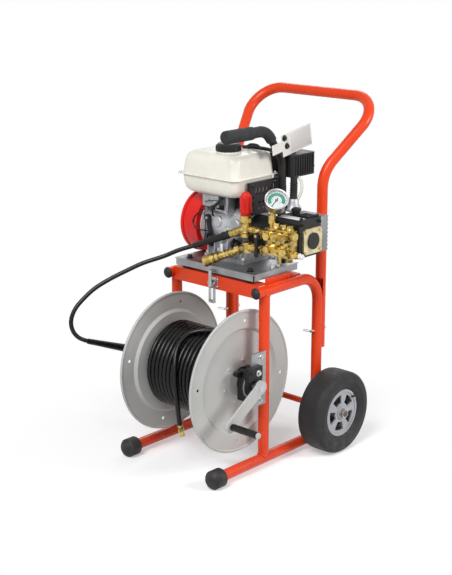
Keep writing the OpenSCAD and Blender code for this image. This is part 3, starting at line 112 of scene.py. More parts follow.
# Finishes
class Nodes:
    """A node tree, with short ways to add and join its nodes."""

    def __init__(self, owner, bare=False):
        owner.use_nodes = True
        self.tree = owner.node_tree
        if bare:
            self.tree.nodes.clear()

    def node(self, kind, **values):
        made = self.tree.nodes.new(kind)
        for key, value in values.items():
            setattr(made, key, value)
        return made

    def filled(self, node, **sockets):
        """Set a node's inputs by their names, with _ for each space."""
        for key, value in sockets.items():
            node.inputs[key.replace("_", " ")].default_value = value
        return node

    def link(self, out, into):
        self.tree.links.new(out, into)

    def maths(self, operation, a, b):
        made = self.node("ShaderNodeMath", operation=operation)
        self.link(a, made.inputs[0])
        if isinstance(b, float):
            made.inputs[1].default_value = b
        else:
            self.link(b, made.inputs[1])
        return made.outputs[0]

    def ramp(self, fac, low, high, start=0.0, end=1.0, ease="LINEAR"):
        remap = self.filled(self.node("ShaderNodeMapRange", interpolation_type=ease),
                            From_Min=low, From_Max=high, To_Min=start, To_Max=end)
        self.link(fac, remap.inputs["Value"])
        return remap.outputs["Result"]

    def show(self, output, share, first, second):
        """Mix two shaders by share into a new output."""
        mix = self.node("ShaderNodeMixShader")
        self.link(share, mix.inputs["Fac"])
        self.link(first.outputs[0], mix.inputs[1])
        self.link(second.outputs[0], mix.inputs[2])
        self.link(mix.outputs[0], self.node(output).inputs["Surface"])


DUST = srgb(148, 142, 134)
# Most of a noise texture's values lie between these two
NOISE_LOW, NOISE_HIGH = 0.3, 0.7


class Finish(Nodes):
    """A Principled material whose layers of grime, wear and grain are added one by one."""

    def __init__(self, name, color, roughness, metallic=0.0, **sockets):
        self.mat = bpy.data.materials.new(name)
        super().__init__(self.mat)
        self.shader = self.filled(self.tree.nodes["Principled BSDF"], Base_Color=color,
                                  Roughness=roughness, Metallic=metallic, **sockets)
        self.color = color
        self.tint_link = None
        self.bump_link = None
        self.coords = self.node("ShaderNodeTexCoord").outputs["Object"]

    def stretch(self, scale):
        mapping = self.filled(self.node("ShaderNodeMapping"), Scale=scale)
        self.link(self.coords, mapping.inputs["Vector"])
        return mapping.outputs["Vector"]

    def noise(self, scale, detail, rough=0.55, along=None):
        tex = self.filled(self.node("ShaderNodeTexNoise"), Scale=scale, Detail=detail,
                          Roughness=rough)
        self.link(along or self.coords, tex.inputs["Vector"])
        return tex.outputs["Fac"]

    def cells(self, scale):
        tex = self.filled(self.node("ShaderNodeTexVoronoi"), Scale=scale)
        self.link(self.coords, tex.inputs["Vector"])
        return tex.outputs["Distance"]

    def height(self):
        split = self.node("ShaderNodeSeparateXYZ")
        self.link(self.coords, split.inputs[0])
        return split.outputs["Z"]

    def tint(self, fac, color):
        mix = self.node("ShaderNodeMix", data_type="RGBA")
        self.link(fac, mix.inputs["Factor"])
        if self.tint_link:
            self.link(self.tint_link, mix.inputs["A"])
        else:
            mix.inputs["A"].default_value = self.color
        mix.inputs["B"].default_value = color
        self.tint_link = mix.outputs["Result"]
        self.link(self.tint_link, self.shader.inputs["Base Color"])

    def mottle(self, color, scale, detail, low, high, amount, rough=0.55):
        """Tint in patches, where noise climbs from low to high."""
        patches = self.ramp(self.noise(scale, detail, rough), low, high, 0.0, amount)
        self.tint(patches, color)

    def floor_dust(self, reach, amount, scale, low):
        """Dust in patches, fading out at the height reach."""
        fading = self.ramp(self.height(), reach, 0.0, 0.0, amount)
        patches = self.ramp(self.noise(scale, 5), low, NOISE_HIGH)
        self.tint(self.maths("MULTIPLY", fading, patches), DUST)

    def drift(self, scale, detail, low, high):
        """Let the roughness drift from low to high."""
        drifting = self.ramp(self.noise(scale, detail), NOISE_LOW, NOISE_HIGH, low, high)
        self.link(drifting, self.shader.inputs["Roughness"])

    def bump(self, fac, strength, depth):
        made = self.filled(self.node("ShaderNodeBump"), Strength=strength, Distance=depth)
        self.link(fac, made.inputs["Height"])
        if self.bump_link:
            self.link(self.bump_link, made.inputs["Normal"])
        self.bump_link = made.outputs["Normal"]
        self.link(self.bump_link, self.shader.inputs["Normal"])


def enamel(name, color, deep, roughness=0.3, dust=0.2):
    """Sprayed enamel: slight orange peel, tone drift, small scuffs, floor dust low down."""
    f = Finish(name, color, roughness, Coat_Weight=0.06, Coat_Roughness=0.12,
               Specular_IOR_Level=0.3)
    f.mottle(deep, scale=7, detail=3, low=0.35, high=0.75, amount=0.55)
    f.mottle(deep, scale=230, detail=2, low=0.69, high=0.74, amount=0.4, rough=0.7)
    f.floor_dust(reach=0.16, amount=dust, scale=24, low=0.35)
    f.drift(40, 5, roughness - 0.06, roughness + 0.12)
    f.bump(f.noise(520, 2), strength=0.10, depth=0.0004)
    return f.mat


def plated(name, color, dull, roughness, grain=(1, 1, 40), spangle=0.0):
    """Plated or galvanised sheet: drawn grain, cloudy patches and a faint spangle."""
    f = Finish(name, color, roughness, 1.0)
    f.mottle(dull, scale=14, detail=5, low=0.35, high=0.7, amount=0.7)
    if spangle:
        f.tint(f.ramp(f.cells(70), 0.2, 0.75, 0.0, spangle), dull)
    f.drift(55, 4, roughness - 0.06, roughness + 0.16)
    f.bump(f.noise(60, 3, 0.6, f.stretch(grain)), strength=0.10, depth=0.0003)
    return f.mat


def cast(name, color, dark, metallic, roughness=0.45):
    """Die-cast alloy: fine sand texture with oil-dark patches."""
    f = Finish(name, color, roughness, metallic)
    f.mottle(dark, scale=18, detail=5, low=0.42, high=0.75, amount=0.7)
    f.mottle(dark, scale=160, detail=3, low=0.62, high=0.75, amount=0.5)
    f.drift(70, 4, roughness - 0.08, roughness + 0.15)
    f.bump(f.noise(700, 2), strength=0.25, depth=0.0004)
    return f.mat


def machined(name, color, tarnish, roughness):
    """Turned brass: bright cuts with tarnish in patches."""
    f = Finish(name, color, roughness, 1.0)
    f.mottle(tarnish, scale=45, detail=5, low=0.42, high=0.66, amount=0.85)
    f.mottle(tarnish, scale=260, detail=2, low=0.66, high=0.74, amount=0.6)
    f.drift(90, 4, roughness - 0.06, roughness + 0.2)
    f.bump(f.noise(300, 2), strength=0.12, depth=0.0004)
    return f.mat


def moulded(name, color, worn, roughness, grain=900, depth=0.0004):
    """Moulded plastic or rubber: fine grain, rubbed patches and a little dust."""
    f = Finish(name, color, roughness, Specular_IOR_Level=0.3)
    f.mottle(worn, scale=30, detail=5, low=0.45, high=0.78, amount=0.6)
    f.floor_dust(reach=0.12, amount=0.16, scale=36, low=0.4)
    f.drift(60, 4, roughness - 0.08, roughness + 0.14)
    f.bump(f.cells(grain), strength=0.16, depth=depth)
    return f.mat


def hose_cover(name):
    """Smooth hose cover: black, with a slow drift of tone and gloss."""
    f = Finish(name, srgb(9, 9, 10), 0.3, Specular_IOR_Level=0.3)
    f.mottle(srgb(20, 20, 20), scale=40, detail=4, low=0.45, high=0.75, amount=0.6)
    f.drift(80, 4, 0.2, 0.36)
    return f.mat


ORANGE = enamel("frame_enamel", srgb(232, 66, 14), srgb(214, 54, 10))
FAN_RED = enamel("fan_red_enamel", srgb(222, 28, 24), srgb(190, 18, 17), dust=0.0)
CREAM = enamel("tank_cream_enamel", srgb(240, 237, 227), srgb(229, 223, 209), 0.28, dust=0.0)
SATIN_BLACK = enamel("satin_black_enamel", srgb(27, 27, 29), srgb(20, 20, 21), 0.38, dust=0.0)
PLATE_WHITE = enamel("bare_white_plate", srgb(228, 226, 221), srgb(212, 209, 203), 0.4, dust=0.0)
LABEL_GREY = enamel("bare_panel_grey", srgb(204, 203, 200), srgb(193, 191, 187), 0.45, dust=0.0)
REEL_GREY = enamel("reel_grey_enamel", srgb(193, 193, 190), srgb(181, 181, 178), 0.4, dust=0.1)
RIM_SILVER = enamel("rim_silver_enamel", srgb(176, 177, 181), srgb(154, 154, 158), 0.4, dust=0.15)
DIAL_WHITE = enamel("dial_white", srgb(238, 240, 236), srgb(226, 228, 224), 0.45, dust=0.0)
GALVANISED = plated("galvanised_plate", srgb(176, 178, 180), srgb(142, 144, 146), 0.42,
                    (1, 20, 1), 0.3)
ZINC = plated("zinc_plate", srgb(205, 205, 206), srgb(160, 160, 163), 0.28)
BASE_SHEET = plated("base_sheet", srgb(168, 169, 171), srgb(126, 126, 127), 0.42, (1, 30, 1))
AXLE_BROWN = plated("axle_end_steel", srgb(112, 98, 86), srgb(74, 62, 52), 0.45)
ALLOY = cast("engine_alloy", srgb(190, 192, 196), srgb(120, 121, 124), metallic=0.6)
FIN_GREY = cast("fin_grey_alloy", srgb(142, 143, 146), srgb(98, 99, 102), metallic=0.5)
BRASS = machined("pump_brass", srgb(215, 188, 114), srgb(84, 66, 26), 0.24)
GOLD_COVER = machined("gold_cover", srgb(216, 204, 168), srgb(182, 164, 122), 0.4)
BLACK_PLASTIC = moulded("black_plastic", srgb(26, 26, 28), srgb(38, 37, 37), 0.42)
GLOSS_BLACK = moulded("gloss_black_plastic", srgb(18, 18, 19), srgb(28, 28, 28), 0.24,
                      depth=0.0001)
BLACK_RUBBER = moulded("black_rubber", srgb(36, 36, 38), srgb(48, 47, 47), 0.55)
TYRE_RUBBER = moulded("tyre_rubber", srgb(38, 38, 40), srgb(50, 50, 50), 0.6, 500, 0.0006)
KNOB_RED = moulded("knob_red_plastic", srgb(212, 36, 22), srgb(180, 24, 15), 0.35)
FOAM = moulded("foam_grip", srgb(46, 47, 49), srgb(58, 58, 60), 0.75, 420, 0.0012)
TIP_WHITE = moulded("white_plastic", srgb(232, 231, 226), srgb(216, 213, 204), 0.42)
INK = moulded("dial_ink", srgb(16, 16, 17), srgb(26, 26, 26), 0.5)
DIAL_GREEN = moulded("dial_green", srgb(34, 140, 112), srgb(48, 156, 128), 0.5)
HOSE = hose_cover("hose_cover")
WINDOW = Finish("gauge_window", (0.95, 0.98, 1.0, 1.0), 0.04, Transmission_Weight=1.0, IOR=1.45).mat

WEARS = {
    ORANGE: "side_tubes front_posts runners deck_bars axle push_handle",
    BLACK_RUBBER: "end_caps base_isolators jumper_fittings",
    ZINC: "handle_pins wheel_nuts reel_shaft latch_base latch_lever latch_strap gauge_case",
    RIM_SILVER: "left_rim right_rim",
    REEL_GREY: "near_flange far_flange reel_drum crank_arm",
    GALVANISED: "reel_brackets",
    BLACK_PLASTIC: "reel_bearings reel_lock_lever starter_grip fuel_cap air_cleaner throttle_lever"
                   " pulse_lever",
    GLOSS_BLACK: "crank_grip",
    TYRE_RUBBER: "left_tyre right_tyre",
    HOSE: "wound_hose hose_tail jumper_hose",
    BRASS: "hose_end_fitting reel_swivel pump_manifold unloader_valve inlet_fitting inlet_nut",
    BASE_SHEET: "base_plate",
    ALLOY: "crankcase cylinder_head carburettor",
    FIN_GREY: "pump_rear_cover",
    FAN_RED: "fan_housing recoil_cover",
    CREAM: "fuel_tank",
    SATIN_BLACK: "muffler lift_bar pump_body",
    FOAM: "lift_grip",
    PLATE_WHITE: "tag_plate",
    GOLD_COVER: "pump_end_cover",
    KNOB_RED: "unloader_knob",
    DIAL_WHITE: "gauge_dial",
    INK: "gauge_needle",
    WINDOW: "gauge_lens",
}
for coat, names in WEARS.items():
    for name in names.split():
        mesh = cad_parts[name].data
        mesh.materials.clear()
        mesh.materials.append(coat)

# Hoses
HOSE_ROUNDING = 8


def spline_through(points, steps):
    """Points of a smooth curve through the route's points."""
    found = []
    for i in range(len(points) - 1):
        a, b = points[max(i - 1, 0)], points[i]
        c, e = points[i + 1], points[min(i + 2, len(points) - 1)]
        for k in range(steps):
            t = k / steps
            bend = 2 * a - 5 * b + 4 * c - e + t * (3 * (b - c) + e - a)
            found.append(b + 0.5 * t * (c - a + t * bend))
    return found + [points[-1]]


def hose_curve(name, points, diameter, coat, body):
    """A round hose along points in metres."""
    line = bpy.data.curves.new(name, "CURVE")
    line.dimensions = "3D"
    line.bevel_depth = diameter / 2
    line.bevel_resolution = HOSE_ROUNDING
    line.use_fill_caps = True
    run = line.splines.new("POLY")
    run.points.add(len(points) - 1)
    for spot, p in zip(run.points, points):
        spot.co = (*p, 1)
    run.use_smooth = True
    line.materials.append(coat)
    piece = add_object(name, line)
    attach(piece, body)
    return piece


REEL_Y, REEL_Z = -63.0, 277.0
HOSE_D, HOSE_PITCH, WIND_R, WIND_END = 14.6, 15.8, 123.0, 58.0
DISH_X, DISH_GAP = 130.0, 1.2
TURN_PARTS, WIND_STEPS, TAIL_STEPS = 24, 900, 6
wind_x0 = -DISH_X + HOSE_D / 2 + DISH_GAP
wind_width = 2 * DISH_X - HOSE_D - 2 * DISH_GAP
wind_turns = math.floor(wind_width / HOSE_PITCH * TURN_PARTS) / TURN_PARTS


def on_reel(degrees, x, r):
    """A place round the reel's shaft."""
    return round_axis(REEL_Y, REEL_Z, degrees, x, r)


def wind_point(turned):
    return on_reel(WIND_END - 360 * (wind_turns - turned), wind_x0 + HOSE_PITCH * turned, WIND_R)


wound = [wind_point(wind_turns * i / WIND_STEPS) for i in range(WIND_STEPS + 1)]
first_way = (wound[0] - wound[1]).normalized()
last_way = (wound[-1] - wound[-2]).normalized()
# The free end's way over the turns: angle, place across as a share of DISH_X, lift off the turns
tail_over = [(72, 0.846, 5.5), (82, 0.762, 12.5), (90, 0.608, 16), (96, 0.408, 16),
             (101, 0.215, 16), (107, 0.062, 16), (116, -0.062, 16), (131, -0.1, 16),
             (145, -0.062, 16), (160, 0.023, 16), (176, 0.085, 16), (190, 0.092, 16)]
tail_hang = [Vector((11, -193, 206)), Vector((9, -187, 172)), Vector((7, -180, 143))]
tail_exit = wound[-1] + last_way * HOSE_D
tail_route = ([tail_exit, tail_exit + last_way * HOSE_D]
              + [on_reel(a, x * DISH_X, WIND_R + h) for a, x, h in tail_over] + tail_hang)
wound_line = [place(*p) for p in [wound[0] + first_way * HOSE_D] + wound + [tail_exit]]
tail_line = [place(*p) for p in spline_through(tail_route, TAIL_STEPS)]
wound_hose = hose_curve("reel_hose_turns", wound_line, HOSE_D / MM, HOSE, "reel")
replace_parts(wound_hose, "wound_hose")
tail_hose = hose_curve("reel_hose_end", tail_line, HOSE_D / MM, HOSE, "reel")
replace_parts(tail_hose, "hose_tail")

JUMPER_D, JUMPER_STEPS = 13.0, 5
outlet = Vector((85, 14, 706))
outlet_way = Vector((-98, -48, -42)).normalized()
swivel = Vector((-262, REEL_Y, REEL_Z))
swivel_way = Vector((0, -0.932, 0.363)).normalized()
# The hose runs on through its restrictors to the couplings, straight as far as they reach
out_run = [outlet + outlet_way * reach for reach in (40, 80, 120, 160)]
in_run = [swivel + swivel_way * reach for reach in (240, 190, 120, 55)]
jumper_route = [(-88, -79, 633), (-122, -107, 614), (-165, -151, 594), (-200, -187, 571),
                (-231, -223, 548), (-256, -260, 523), (-271, -291, 496), (-281, -317, 468),
                (-283, -333, 437), (-279, -333, 407), (-271, -318, 382)]
jumper_points = out_run + [Vector(p) for p in jumper_route] + in_run
jumper_line = [place(*p) for p in spline_through(jumper_points, JUMPER_STEPS)]
jumper = hose_curve("jumper_hose_run", jumper_line, JUMPER_D / MM, HOSE, "cart")
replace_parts(jumper, "jumper_hose")

# Hardware made in mesh code, in the cart's millimetres
FLATS_PER_RADIUS = 1.732
MERGE_WITHIN = 1e-6
SHELL_SIDES = 72
# Keeps a shell's corners off its middle lines
HALF_STEP = Matrix.Rotation(math.pi / SHELL_SIDES, 4, "Z")


def eased(part, edges, size):
    """Round off edges by a size in millimetres."""
    bmesh.ops.bevel(part, geom=edges, offset=size / MM, affect="EDGES", segments=2, profile=0.5,
                    material=-1)


def bridged(part, rings):
    """Join each ring of vertices to the next by a band of faces."""
    for a, b in zip(rings, rings[1:]):
        edges = dict.fromkeys(e for ring in (a, b) for v in ring for e in v.link_edges
                              if all(end in ring for end in e.verts))
        bmesh.ops.bridge_loops(part, edges=list(edges))


class Hardware:
    """One visible piece, stamped together from bmesh shapes."""

    def __init__(self, name):
        self.name = name
        self.bm = bmesh.new()

    def stamp(self, part, matrix):
        """Clean a shape, move it by matrix and add it to the piece."""
        bmesh.ops.remove_doubles(part, verts=part.verts, dist=MERGE_WITHIN)
        bmesh.ops.recalc_face_normals(part, faces=part.faces)
        part.transform(matrix)
        made = bpy.data.meshes.new("stamp")
        part.to_mesh(made)
        part.free()
        self.bm.from_mesh(made)
        bpy.data.meshes.remove(made)
        return self

    def turned(self, profile, at, way, steps):
        """A profile of (radius, height) points spun round the axis."""
        part = bmesh.new()
        dots = [part.verts.new((r / MM, 0, h / MM)) for r, h in profile]
        line = [part.edges.new(pair) for pair in zip(dots, dots[1:])]
        bmesh.ops.spin(part, geom=dots + line, cent=(0, 0, 0), axis=UP, angle=FULL_TURN,
                       steps=steps, use_merge=True)
        return self.stamp(part, aimed(at, way))

    def hexagon(self, at, way, across, height, roll=0.0):
        """A six-sided head or nut with its top edges eased."""
        part = bmesh.new()
        r = across / (FLATS_PER_RADIUS * MM)
        bmesh.ops.create_cone(part, cap_ends=True, segments=6, radius1=r, radius2=r,
                              depth=height / MM)
        top = [e for e in part.edges if all(v.co.z > 0 for v in e.verts)]
        eased(part, top, across / 12)
        part.transform(Matrix.Translation((0, 0, height / 2 / MM)) @ Matrix.Rotation(roll, 4, "Z"))
        return self.stamp(part, aimed(at, way))

    def bolt(self, at, way, across, height):
        """A hexagon head on a washer."""
        washer_r = across * 0.85
        self.turned([(0, 1.4), (across * 0.75, 1.4), (washer_r, 0.9), (washer_r, 0)], at, way, 20)
        lifted = Vector(at) + Vector(way).normalized() * 1.2
        return self.hexagon(lifted, way, across, height)

    def socket_head(self, at, way, d, height):
        """A cap screw with a round socket."""
        r, s, floor_h, edge = d / 2, d * 0.28, height * 0.45, 0.6
        return self.turned([(0, floor_h), (s, floor_h), (s, height), (r - edge, height),
                            (r, height - edge), (r, 0)], at, way, 24)

    def slab(self, low, high, ease=1.0, at=(0, 0, 0), way=Matrix.Identity(4)):
        """A block between two corners, measured from at and turned by way."""
        part = bmesh.new()
        size = [(h - l) / MM for l, h in zip(low, high)]
        middle = [(l + h) / 2 / MM for l, h in zip(low, high)]
        bmesh.ops.create_cube(part, size=1.0)
        bmesh.ops.scale(part, verts=part.verts, vec=size)
        bmesh.ops.translate(part, verts=part.verts, vec=middle)
        if ease:
            eased(part, part.edges[:], ease)
        return self.stamp(part, aimed(at, way))

    def ring(self, at, way, radius, thick, steps=48, sides=10, arc=FULL_TURN, flat=1.0):
        """A round bead bent into a ring or arc, flattened along its axis by flat."""
        part = bmesh.new()
        circle = bmesh.ops.create_circle(part, segments=sides, radius=thick / MM)["verts"]
        bmesh.ops.scale(part, verts=circle, vec=(1, flat, 1))
        bmesh.ops.rotate(part, verts=circle, cent=(0, 0, 0),
                         matrix=Matrix.Rotation(math.pi / 2, 3, "X"))
        bmesh.ops.translate(part, verts=circle, vec=(radius / MM, 0, 0))
        edges = part.edges[:]
        whole = arc == FULL_TURN
        if not whole:
            bmesh.ops.contextual_create(part, geom=edges)
        swept = bmesh.ops.spin(part, geom=circle + edges, cent=(0, 0, 0), axis=UP, angle=arc,
                               steps=steps, use_merge=whole)
        if not whole:
            end = [g for g in swept["geom_last"] if isinstance(g, bmesh.types.BMEdge)]
            bmesh.ops.contextual_create(part, geom=end)
        return self.stamp(part, aimed(at, way))

    def wire(self, points, d, sides=8, steps=6):
        """A bent wire or lead through a few places, with closed ends."""
        line = spline_through([Vector(p) for p in points], steps)
        part = bmesh.new()
        rings = []
        side = None
        for i, p in enumerate(line):
            way = (line[min(i + 1, len(line) - 1)] - line[max(i - 1, 0)]).normalized()
            side = way.orthogonal() if side is None else side
            side = (side - way * side.dot(way)).normalized()
            ring = bmesh.ops.create_circle(part, segments=sides, radius=d / 2 / MM,
                                           cap_ends=i in (0, len(line) - 1),
                                           matrix=aimed(p, facing(side, way)))
            rings.append(ring["verts"])
        bridged(part, rings)
        return self.stamp(part, Matrix.Identity(4))

    def shell(self, sections, corner):
        """Round-cornered level sections (x0, x1, y0, y1, z) joined into one closed skin."""
        part = bmesh.new()
        rings = []
        for x0, x1, y0, y1, z in sections:
            half_x, half_y = (x1 - x0) / 2, (y1 - y0) / 2
            r = min(corner, half_x - 1, half_y - 1)
            middle = ((x0 + x1) / 2, (y0 + y1) / 2, z)
            at = place(*middle)
            ring = bmesh.ops.create_circle(part, segments=SHELL_SIDES, radius=r / MM,
                                           cap_ends=z in (sections[0][-1], sections[-1][-1]),
                                           matrix=aimed(middle, HALF_STEP))["verts"]
            for v in ring:
                v.co.x += math.copysign((half_x - r) / MM, v.co.x - at.x)
                v.co.y += math.copysign((half_y - r) / MM, v.co.y - at.y)
            rings.append(ring)
        bridged(part, rings)
        return self.stamp(part, Matrix.Identity(4))

    def made(self, coat, body, slot, angle=35):
        """The finished piece, sharp at edges over angle. A piece to blend is given no body."""
        mesh = bpy.data.meshes.new(self.name)
        self.bm.to_mesh(mesh)
        self.bm.free()
        mesh.shade_smooth()
        mesh.set_sharp_from_angle(angle=math.radians(angle))
        mesh.materials.append(coat)
        piece = add_object(self.name, mesh)
        if body:
            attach(piece, body)
        return piece


# Frame: weld beads where the tubes meet, and domes on the side tubes' front plugs
POST_X, REAR_Y, RUNNER_Z, DECK_Z, AXLE_Z = 175.0, 245.0, 28.0, 541.0, 127.0
POST_FACE_X, BEAD_D = 159.4, 4.0
SADDLE_R, SADDLE_OVER = 16.5, 17.6


def saddle(x, y, z, up):
    """The line along which an upright tube meets a level one."""
    line = []
    for k in range(25):
        a = math.radians(15 * k)
        across = SADDLE_R * math.cos(a)
        line.append((x + across, y + SADDLE_R * math.sin(a),
                     z + up * math.sqrt(SADDLE_OVER ** 2 - across ** 2)))
    return line


welds = Hardware("frame_welds")
domes = Hardware("tube_plug_domes")
for side in (-1, 1):
    for y, z, up in ((0, RUNNER_Z, 1), (REAR_Y, RUNNER_Z, 1), (0, DECK_Z, -1)):
        welds.wire(saddle(side * POST_X, y, z, up), BEAD_D, steps=2)
    welds.ring((side * POST_FACE_X, REAR_Y, AXLE_Z), NEAR, 10.6, 1.9)
    domes.turned([(0, 9.5), (4, 9.1), (8, 7.9), (11.5, 5.9), (14.4, 3.2), (16.2, 1), (16.9, -0.6),
                  (16, -1)], (side * POST_X, -39, DECK_Z), FRONT, 48)
welds.made(ORANGE, "cart", "frame_paint")
domes.made(BLACK_RUBBER, "cart", "black_rubber")

# Base plate: isolator bolts, and the bolts of what stands on it
PLATE_TOP, FOOT_TOP = 590.0, 602
base_bolts = Hardware("isolator_bolts")
for x in (-120, 120):
    for y in (0, 150):
        base_bolts.bolt((x, y, PLATE_TOP), UP, 13, 8)
base_bolts.made(SATIN_BLACK, "cart", "black_paint")
foot_bolts = Hardware("engine_foot_bolts")
for x in (-88, 51):
    for y in (47, 158):
        foot_bolts.bolt((x, y, FOOT_TOP), UP, 11, 7)
for x in (71, 89):
    foot_bolts.bolt((x, 163, PLATE_TOP), UP, 11, 7)
foot_bolts.bolt((146, 66, PLATE_TOP), UP, 9, 13)
foot_bolts.bolt((146, 92, PLATE_TOP), UP, 9, 6)
foot_bolts.made(ZINC, "cart", "bright_steel")

# Engine: crankcase webs and bolts, governor with a black sheet of painted shade behind it,
# dipsticks, fan ring and bolts, leads, plug boot
ENGINE_Y, SHAFT_Z = 100.0, 687.0
DIPSTICK_WAY = Vector((0.15, -0.72, 0.6))


def on_shaft(degrees, x, r):
    """A place round the engine's and the pump's shaft."""
    return round_axis(ENGINE_Y, SHAFT_Z, degrees, x, r)


webs = Hardware("crankcase_webs")
for x in (-84, -58, -32, -6, 20, 46):
    webs.slab((x, 38, 600), (x + 5, 54, 652), 1.2)
webs.slab((-8, 30, 676), (56, 40, 698), 3)
for x in (-40, 30):
    webs.turned([(0, 8), (15, 8), (17, 6), (17, -14)], (x, 40, 706), FRONT, 28)
webs.made(ALLOY, "cart", "cast_alloy")
engine_bolts = Hardware("crankcase_bolts")
for x in (-45, 8):
    engine_bolts.bolt((x, 52, 617), FRONT, 14, 8)
for x in (2, 24, 46):
    engine_bolts.bolt((x, 30, SHAFT_Z), FRONT, 9, 5)
engine_bolts.made(ZINC, "cart", "bright_steel")
governor_plate = Hardware("governor_plate")
governor_plate.slab((-92, 26, 750), (-26, 28.5, 785), 1)
governor_plate.slab((-92, 26, 750), (-89.5, 56, 785), 1)
governor_plate.slab((-28.5, 26, 756), (-26, 56, 785), 1)
governor_plate.slab((2, 25, 734), (10, 56, 786), 1.5)
governor_plate.ring((-60, 25.5, 768), FRONT, 6, 1.4)
governor_plate.ring((-78, 25.5, 762), FRONT, 3.4, 1.2)
governor_plate.made(GALVANISED, "cart", "base_metal")
linkage = Hardware("governor_linkage_and_shade_sheet")
linkage.wire([(-8, 22, 781), (-14, 21, 777), (-30, 20, 763), (-47, 20, 749)], 8)
linkage.wire([(-47, 20, 749), (-50, 24, 735), (-50, 30, 722)], 5)
linkage.wire([(-12, 19, 775), (-40, 18, 772), (-70, 20, 766), (-78, 24, 762)], 2.4)
linkage.slab((-54, 18, 742), (-40, 26, 756), 2)
# A black sheet behind the governor bracket, between the crankcase and the tank: painted shade in
# that gap
linkage.slab((-78, 58, 736), (2, 62, 786), 1)
linkage.made(SATIN_BLACK, "cart", "black_paint")
SPRING_R, SPRING_STEPS, SPRING_TURN = 3.2, 72, 0.9
spring = Hardware("governor_spring")
spring.wire([(10 - 44 * k / SPRING_STEPS, 20 + SPRING_R * math.cos(k * SPRING_TURN),
              742 + SPRING_R * math.sin(k * SPRING_TURN) + k * 0.06)
             for k in range(SPRING_STEPS + 1)], 1.1, sides=6, steps=2)
spring.made(ZINC, "cart", "bright_steel")
dipsticks = Hardware("oil_dipsticks")
for x in (36, -70):
    foot = Vector((x, 40, 640))
    dipsticks.turned([(0, 30), (9, 30), (12, 28), (13, 26), (13, 18), (15, 16), (15, 13), (10, 12),
                      (10, -12)], foot, DIPSTICK_WAY, 28)
    tip = foot + DIPSTICK_WAY.normalized() * 29
    dipsticks.slab((-3, -11, 0), (3, 11, 9), 1.5, tip, DIPSTICK_WAY)
dipsticks.made(BLACK_PLASTIC, "cart", "black_plastic")
fan_ring = Hardware("fan_back_ring")
fan_ring.turned([(62, 0), (78, 0), (79, 1), (79, 3), (77, 4), (62, 4)], (-97, ENGINE_Y, SHAFT_Z),
                NEAR, 64)
fan_ring.made(LABEL_GREY, "cart", "base_metal")
leads = Hardware("engine_leads")
leads.wire([(-88, 34, 738), (-96, 12, 729), (-107, 7, 715), (-111, 4, 701), (-105, 2.5, 690),
            (-92, 4, 682), (-78, 22, 676), (-72, 34, 674)], 4)
leads.wire([(-88, 30, 726), (-80, 26, 705), (-82, 27, 672), (-88, 36, 648)], 3.2)
leads.wire([(-118, 214, 767), (-138, 212, 758), (-146, 203, 744), (-140, 190, 733),
            (-135, 183, 731)], 6)
leads.wire([(44, 128, 790), (48, 170, 776), (50, 186, 770), (46, 200, 772)], 7)
leads.made(BLACK_PLASTIC, "cart", "black_plastic")
plug = Hardware("spark_plug_boot")
plug.turned([(0, 40), (7, 40), (8, 38), (8, 20), (10, 18), (10, 9), (6, 8), (6, 0)],
            (-82, 214, 767), FAR, 24)
plug.made(BLACK_RUBBER, "cart", "black_rubber")
housing_bolts = Hardware("fan_housing_bolts")
for k in range(6):
    housing_bolts.bolt(on_shaft(60 * k + 20, -165, 80), FAR, 9, 5)
housing_bolts.turned([(0, 5), (9, 5), (12, 3), (12, 0)], (-185, ENGINE_Y, SHAFT_Z), FAR, 28)
housing_bolts.made(ZINC, "cart", "bright_steel")

# The starter rope pays out between the recoil cover and its handle
ROPE_R, ROPE_LENGTH = 2.2, 16
rope_side = [(ROPE_R, k / 2) for k in range(2 * ROPE_LENGTH + 1)]
rope = Hardware("starter_rope")
rope.turned([(0, 0)] + rope_side + [(0, ROPE_LENGTH)], (-186, 130, 723), FAR, 14)
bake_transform(rope.made(BLACK_RUBBER, None, "black_rubber"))

# Pressed tank, by levels: height, how far in from the widest line, how far the fan end leans in
TANK_X0, TANK_X1, TANK_Y0, TANK_Y1 = -160, 60, 0, 185
TANK_CORNER, TANK_TOP, SEAM_Z = 26, 912.0, 843.0
TANK_NECK, TANK_EARS = (-20, 62), ((-157, 2), (-157, 183), (57, 183))
tank_levels = [(786, 60, 3), (786.2, 32, 3), (788, 20, 3), (792.5, 12, 3), (800, 6, 2),
               (815, 2.5, 1), (841, 0.5, 0), (841.3, -4.5, 0), (842.2, -5.8, 0), (843.8, -5.8, 0),
               (844.7, -4.5, 0), (845.4, 0.5, 0), (870, 2, 3), (890, 4, 6), (899, 6, 8),
               (904.5, 9.5, 9), (908.5, 15, 9), (911, 23, 9), (912, 34, 9), (912.4, 60, 9)]
tank = Hardware("fuel_tank_shell")
tank.shell([(TANK_X0 + inset + lean, TANK_X1 - inset, TANK_Y0 + inset, TANK_Y1 - inset, z)
            for z, inset, lean in tank_levels], TANK_CORNER)
tank.turned([(0, 5), (27.5, 5), (28, 4.5), (28, -3)], (*TANK_NECK, TANK_TOP), UP, 48)
tank_bolts = Hardware("tank_bolts")
for x, y in TANK_EARS:
    tank.turned([(0, 1.8), (7, 1.8), (7.8, 1), (7.8, -1), (7, -1.8), (0, -1.8)], (x, y, SEAM_Z),
                UP, 28)
    tank_bolts.bolt((x, y, SEAM_Z + 1.6), UP, 8, 4)
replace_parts(tank.made(CREAM, "cart", "cream_paint", 50), "fuel_tank")
neck = Hardware("tank_neck_ring")
neck.ring((*TANK_NECK, TANK_TOP + 2), UP, 33, 4, 56, 10, flat=0.7)
neck.made(CREAM, "cart", "cream_paint")
tank_bolts.made(ZINC, "cart", "bright_steel")

